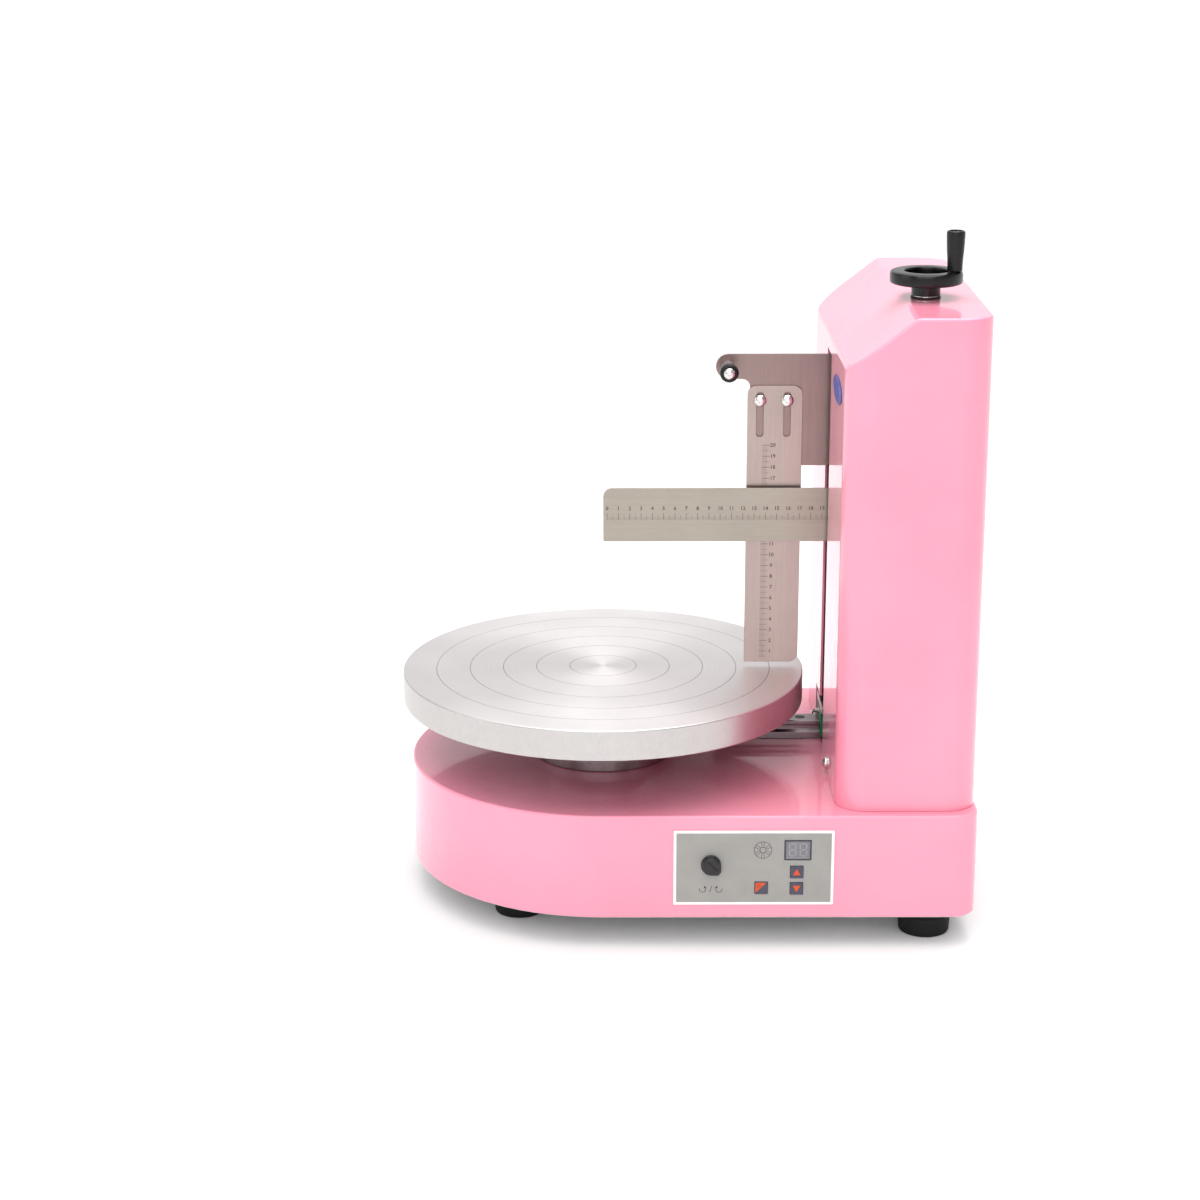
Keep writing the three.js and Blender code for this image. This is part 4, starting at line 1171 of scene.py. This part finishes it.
def makePanelPrint():
    face = panelLow.y - panel["film"]
    ink = bmesh.new()
    wheel = (panelLow.x + 76 * mm, panelLow.z + 50.1 * mm)
    addTo(ink, arcStroke(wheel, face, 7.5 * mm, 0.45 * mm, 0, 360, 48))
    addTo(ink, arcStroke(wheel, face, 2.5 * mm, 0.45 * mm, 0, 360, 32))
    for spoke in range(6):
        angle = math.radians(30 + 60 * spoke)
        for side in (-1, 1):
            lean = angle + side * math.radians(9)
            foot = angle + side * math.radians(18)
            addTo(ink, stroke(around(*wheel, 2.6 * mm, foot), around(*wheel, 7.3 * mm, lean), face,
                              0.4 * mm))
    # two turning arrows under the knob, one each way
    knob = centreOf("direction_knob")
    for side in (-1, 1):
        centre = (knob.x + side * 7 * mm, panelLow.z + 14.2 * mm)
        radius = 2.7 * mm
        addTo(ink, arcStroke(centre, face, radius, 0.55 * mm, 90 + side * 60, side * 230, 24))
        tip = math.radians(90 + side * 60)
        on = around(*centre, radius, tip)
        ahead = Vector((math.sin(tip), -math.cos(tip))) * side
        out = Vector((math.cos(tip), math.sin(tip)))
        addTo(ink, inkPlate([(on[0] + ahead.x * 2.1 * mm, on[1] + ahead.y * 2.1 * mm),
                             (on[0] + out.x * 1.3 * mm, on[1] + out.y * 1.3 * mm),
                             (on[0] - out.x * 1.3 * mm, on[1] - out.y * 1.3 * mm)], face))
    addTo(ink, stroke((knob.x - 0.9 * mm, panelLow.z + 11.6 * mm),
                      (knob.x + 0.9 * mm, panelLow.z + 17 * mm), face, 0.5 * mm))
    addPrint("panel_print", ink, "panel_overlay", "darkInk")


def makeDisplay():
    low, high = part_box("display_window")
    front = low.y
    pane = boxMesh(low, high)
    bevelEdges(pane, edgesAlong(pane, 1), 0.8 * mm, 4)
    finishPiece("display_pane", softenSharp(pane, 0.15 * mm, 2), "display_window", "window")
    wide = high.x - low.x
    tall = high.z - low.z
    bezel = boxMesh((low.x + 0.1 * mm, front - 0.3 * mm, low.z + 0.1 * mm),
                    (high.x - 0.1 * mm, front + 0.2 * mm, high.z - 0.1 * mm))
    opening = boxMesh((low.x + 1.1 * mm, front - 2 * mm, low.z + 1.1 * mm),
                      (high.x - 1.1 * mm, front + 2 * mm, high.z - 1.1 * mm))
    finishPiece("display_bezel", softenSharp(carve(bezel, [opening]), 0.1 * mm, 2), "display_window",
                "bezel", replaces=False)
    digits = bmesh.new()
    tallDigit = 11 * mm
    wideDigit = 5.4 * mm
    bar = 1.1 * mm
    for place in (-1, 1):
        x = low.x + wide / 2 + place * 4.6 * mm
        z = low.z + tall / 2 + 0.3 * mm
        across = wideDigit / 2
        up = tallDigit / 2
        for level in (-1, 0, 1):
            addTo(digits, stroke((x - across + bar * 0.7, z + level * up),
                                 (x + across - bar * 0.7, z + level * up), front, bar))
        for side in (-1, 1):
            for half in (-1, 1):
                addTo(digits, stroke((x + side * across, z + half * bar * 0.6),
                                     (x + side * across, z + half * (up - bar * 0.4)), front, bar))
    addPrint("display_digits", digits, "display_window", "paleSegment")
    strip = bmesh.new()
    addTo(strip, inkPlate([(low.x + 1.4 * mm, low.z + 1.4 * mm), (high.x - 1.4 * mm, low.z + 1.4 * mm),
                           (high.x - 1.4 * mm, low.z + 2.2 * mm), (low.x + 1.4 * mm, low.z + 2.2 * mm)],
                          front))
    addPrint("display_strip", strip, "display_window", "paleSegment")


def makeKeys():
    for node, way in (("up_button", 1), ("down_button", -1), ("power_button", 0)):
        finishPiece(node + "_key", softenedCopy(node, 0.3 * mm), node, "slateKey")
        low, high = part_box(node)
        x = (low.x + high.x) / 2
        z = (low.z + high.z) / 2
        face = low.y
        if way:
            mark = inkPlate([(x - 3.2 * mm, z - way * 2.6 * mm), (x + 3.2 * mm, z - way * 2.6 * mm),
                             (x, z + way * 3 * mm)], face)
            addPrint(node + "_arrow", mark, node, "orangeInk")
        else:
            corner = 4.9 * mm
            mark = inkPlate([(x - corner, z + corner), (x - corner, z - corner + 0.8 * mm),
                             (x + corner - 0.8 * mm, z + corner)], face)
            addPrint("power_key_half", mark, node, "orangeInk")
            glyph = bmesh.new()
            addTo(glyph, arcStroke((x - 2 * mm, z + 1.9 * mm), face - panel["ink"], 1.25 * mm, 0.35 * mm,
                                   120, 300, 20))
            addTo(glyph, stroke((x - 2 * mm, z + 2 * mm), (x - 2 * mm, z + 3.7 * mm), face - panel["ink"],
                                0.35 * mm))
            addPrint("power_key_glyph", glyph, node, "darkInk")


def makeKnob():
    low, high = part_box("direction_knob")
    centre = centreOf("selector_switch")
    back = panelLow.y - 0.5 * mm
    radius = 8.6 * mm
    tall = back - low.y - 0.8 * mm
    skirt = turnedMesh([(0, 0), (radius, 0), (radius, 2.4 * mm), (radius - 0.7 * mm, 3 * mm),
                        (radius - 0.9 * mm, tall - 0.8 * mm), (radius - 1.7 * mm, tall), (0, tall)], 96)
    for vert in skirt.verts:
        out = math.hypot(vert.co.x, vert.co.y)
        if out > radius * 0.5:
            away = abs(math.degrees(math.atan2(vert.co.y, vert.co.x)) + 45)
            if away < 45:
                reach = min(1 / math.cos(math.radians(45 - away)), 1.25)
                vert.co.x *= reach
                vert.co.y *= reach
    grip = boxMesh((-radius * 0.72, -1.7 * mm, tall - 0.5 * mm),
                   (radius * 0.86, 1.7 * mm, tall + 0.8 * mm))
    bevelEdges(grip, edgesAlong(grip, 2), 1.4 * mm, 5)
    softenSharp(grip, 0.4 * mm, 3, 60)
    grip.transform(Matrix.Rotation(math.radians(-45), 4, "Z"))
    addTo(skirt, grip)
    shaft = standAt(rodMesh(3 * mm, high.y - back, 28), (0, 0, -(high.y - back) + 0.5 * mm))
    addTo(skirt, shaft)
    skirt.transform(Matrix.Translation((centre.x, back, centre.z)) @ Matrix.Rotation(math.radians(90), 4,
                                                                                     "X"))
    finishPiece("direction_knob_moulded", skirt, "direction_knob", "knob")


makePanelPlates()
makePanelPrint()
makeDisplay()
makeKeys()
makeKnob()
print("control panel")


# Badge and power inlet

def makeBadge():
    low, high, centre = sizesOf("badge")
    wide = (high.y - low.y) / 2
    tall = (high.z - low.z) / 2
    plate = turnedMesh([(0, 0), (1, 0), (1, 0.55), (0.96, 1), (0, 1)], 72)
    plate.transform(Matrix.Diagonal((wide, tall, high.x - low.x, 1)))
    rim = turnedMesh(ringProfile(0.86, 0.93, 0, 1.12), 72)
    rim.transform(Matrix.Diagonal((wide, tall, high.x - low.x, 1)))
    for mesh in (plate, rim):
        turn = Matrix(((0, 0, -1, 0), (-1, 0, 0, 0), (0, 1, 0, 0), (0, 0, 0, 1)))
        mesh.transform(Matrix.Translation((high.x, centre.y, centre.z)) @ turn)
    finishPiece("badge_oval", plate, "badge", "badge")
    finishPiece("badge_rim", rim, "badge", "badgeRim", replaces=False)


def makeInlet():
    finishPiece("power_inlet_moulded", softenedCopy("power_inlet", 0.5 * mm), "power_inlet", "black")
    low, high, centre = sizesOf("power_inlet")
    pins = bmesh.new()
    face = high.y - 2.5 * mm
    for dx, dz in ((-7, -2.5), (0, 2.5), (7, -2.5)):
        x = centre.x + dx * mm
        z = centre.z + dz * mm
        pin = boxMesh((x - 1.05 * mm, face - 14 * mm, z - 2.05 * mm),
                      (x + 1.05 * mm, face - 3.9 * mm, z + 2.05 * mm))
        addTo(pins, softenSharp(pin, 0.3 * mm))
    addHardware("inlet_pins", pins, "power_inlet")


makeBadge()
makeInlet()
print("badge and inlet")


# Floor, light and camera

studio = {
    "floor": tint(250, 249, 249),
    "horizon": 0.86,
    "front": 0.6,
    "flanks": 0.35,
    "overhead": 8,
    "upper": 4,
    "key": 45,
    "left": 10,
    "sun": 1.5,
}
view = {
    "lens": 76.1,
    "sensor": 36,
    "fromTable": (0.0012, -2.1836, 0.9041),
    "turns": ((0.1, "Z"), (73.58, "X"), (-0.11, "Z")),    # degrees
}


def makeFloor():
    mesh = bmesh.new()
    bmesh.ops.create_grid(mesh, x_segments=1, y_segments=1, size=40)
    floor = asObject(mesh, "floor")
    sweep = lambda place: {"Base Color": place.noise(3, 2).between(studio["floor"], tint(246, 245, 245))}
    floor.data.materials.append(makeMaterial("paleFloor", {"Roughness": 0.6, "Specular IOR Level": 0.2},
                                             sweep))


def makeSky():
    world = bpy.data.worlds.new("studio")
    bpy.context.scene.world = world
    world.use_nodes = True
    tree = world.node_tree
    shade = Wire(tree)
    sky = shade.node("ShaderNodeTexCoord", output="Generated")
    front = sky.axis("Y").clamped(0.2, -0.9)                      # 1 towards the camera's side
    across = sky.axis("X")
    flank = (across * across).clamped(0.15, 0.8) * sky.axis("Z").clamped(0.1, 0.4)
    glow = studio["horizon"] - front * (studio["horizon"] - studio["front"]) - flank * studio["flanks"]
    seen = shade.node("ShaderNodeLightPath", output="Is Camera Ray")
    strength = glow * (1 - seen) + seen
    tree.links.new(strength.socket, tree.nodes["Background"].inputs["Strength"])
    tree.nodes["Background"].inputs["Color"].default_value = (1, 1, 1, 1)


def areaLight(name, place, aim, size, power):
    data = bpy.data.lights.new(name, "AREA")
    data.shape = "RECTANGLE"
    data.size, data.size_y = size
    data.energy = power
    light = inScene(name, data)
    light.location = place
    light.rotation_euler = (Vector(aim) - Vector(place)).to_track_quat("-Z", "Y").to_euler()


def sunLight():
    data = bpy.data.lights.new("softTop", "SUN")
    data.energy = studio["sun"]
    data.angle = math.radians(80)
    inScene("softTop", data).location = (0, 0, 4)


def makeCamera():
    data = bpy.data.cameras.new("camera")
    data.lens = view["lens"]
    data.sensor_width = view["sensor"]
    stand = Matrix.Translation(tableAxis + Vector(view["fromTable"]))
    for angle, axis in view["turns"]:
        stand = stand @ Matrix.Rotation(math.radians(angle), 4, axis)
    camera = inScene("camera", data)
    camera.matrix_world = stand
    bpy.context.scene.camera = camera


makeFloor()
makeSky()
areaLight("overhead", (0, 0.1, 2.4), (0, 0, 0.2), (1.6, 2.8), studio["overhead"])
areaLight("upper", (0.22, 0.1, 1.2), (0.2, 0.05, 0), (0.7, 0.7), studio["upper"])
areaLight("key", (-0.4, -3.1, 1.9), (0, 0, 0.3), (3.2, 2.2), studio["key"])
areaLight("left", (-2.4, -0.7, 1.3), (0, 0, 0.3), (1.6, 1.8), studio["left"])
sunLight()
makeCamera()
bpy.context.scene.view_settings.view_transform = "Standard"
print("studio")
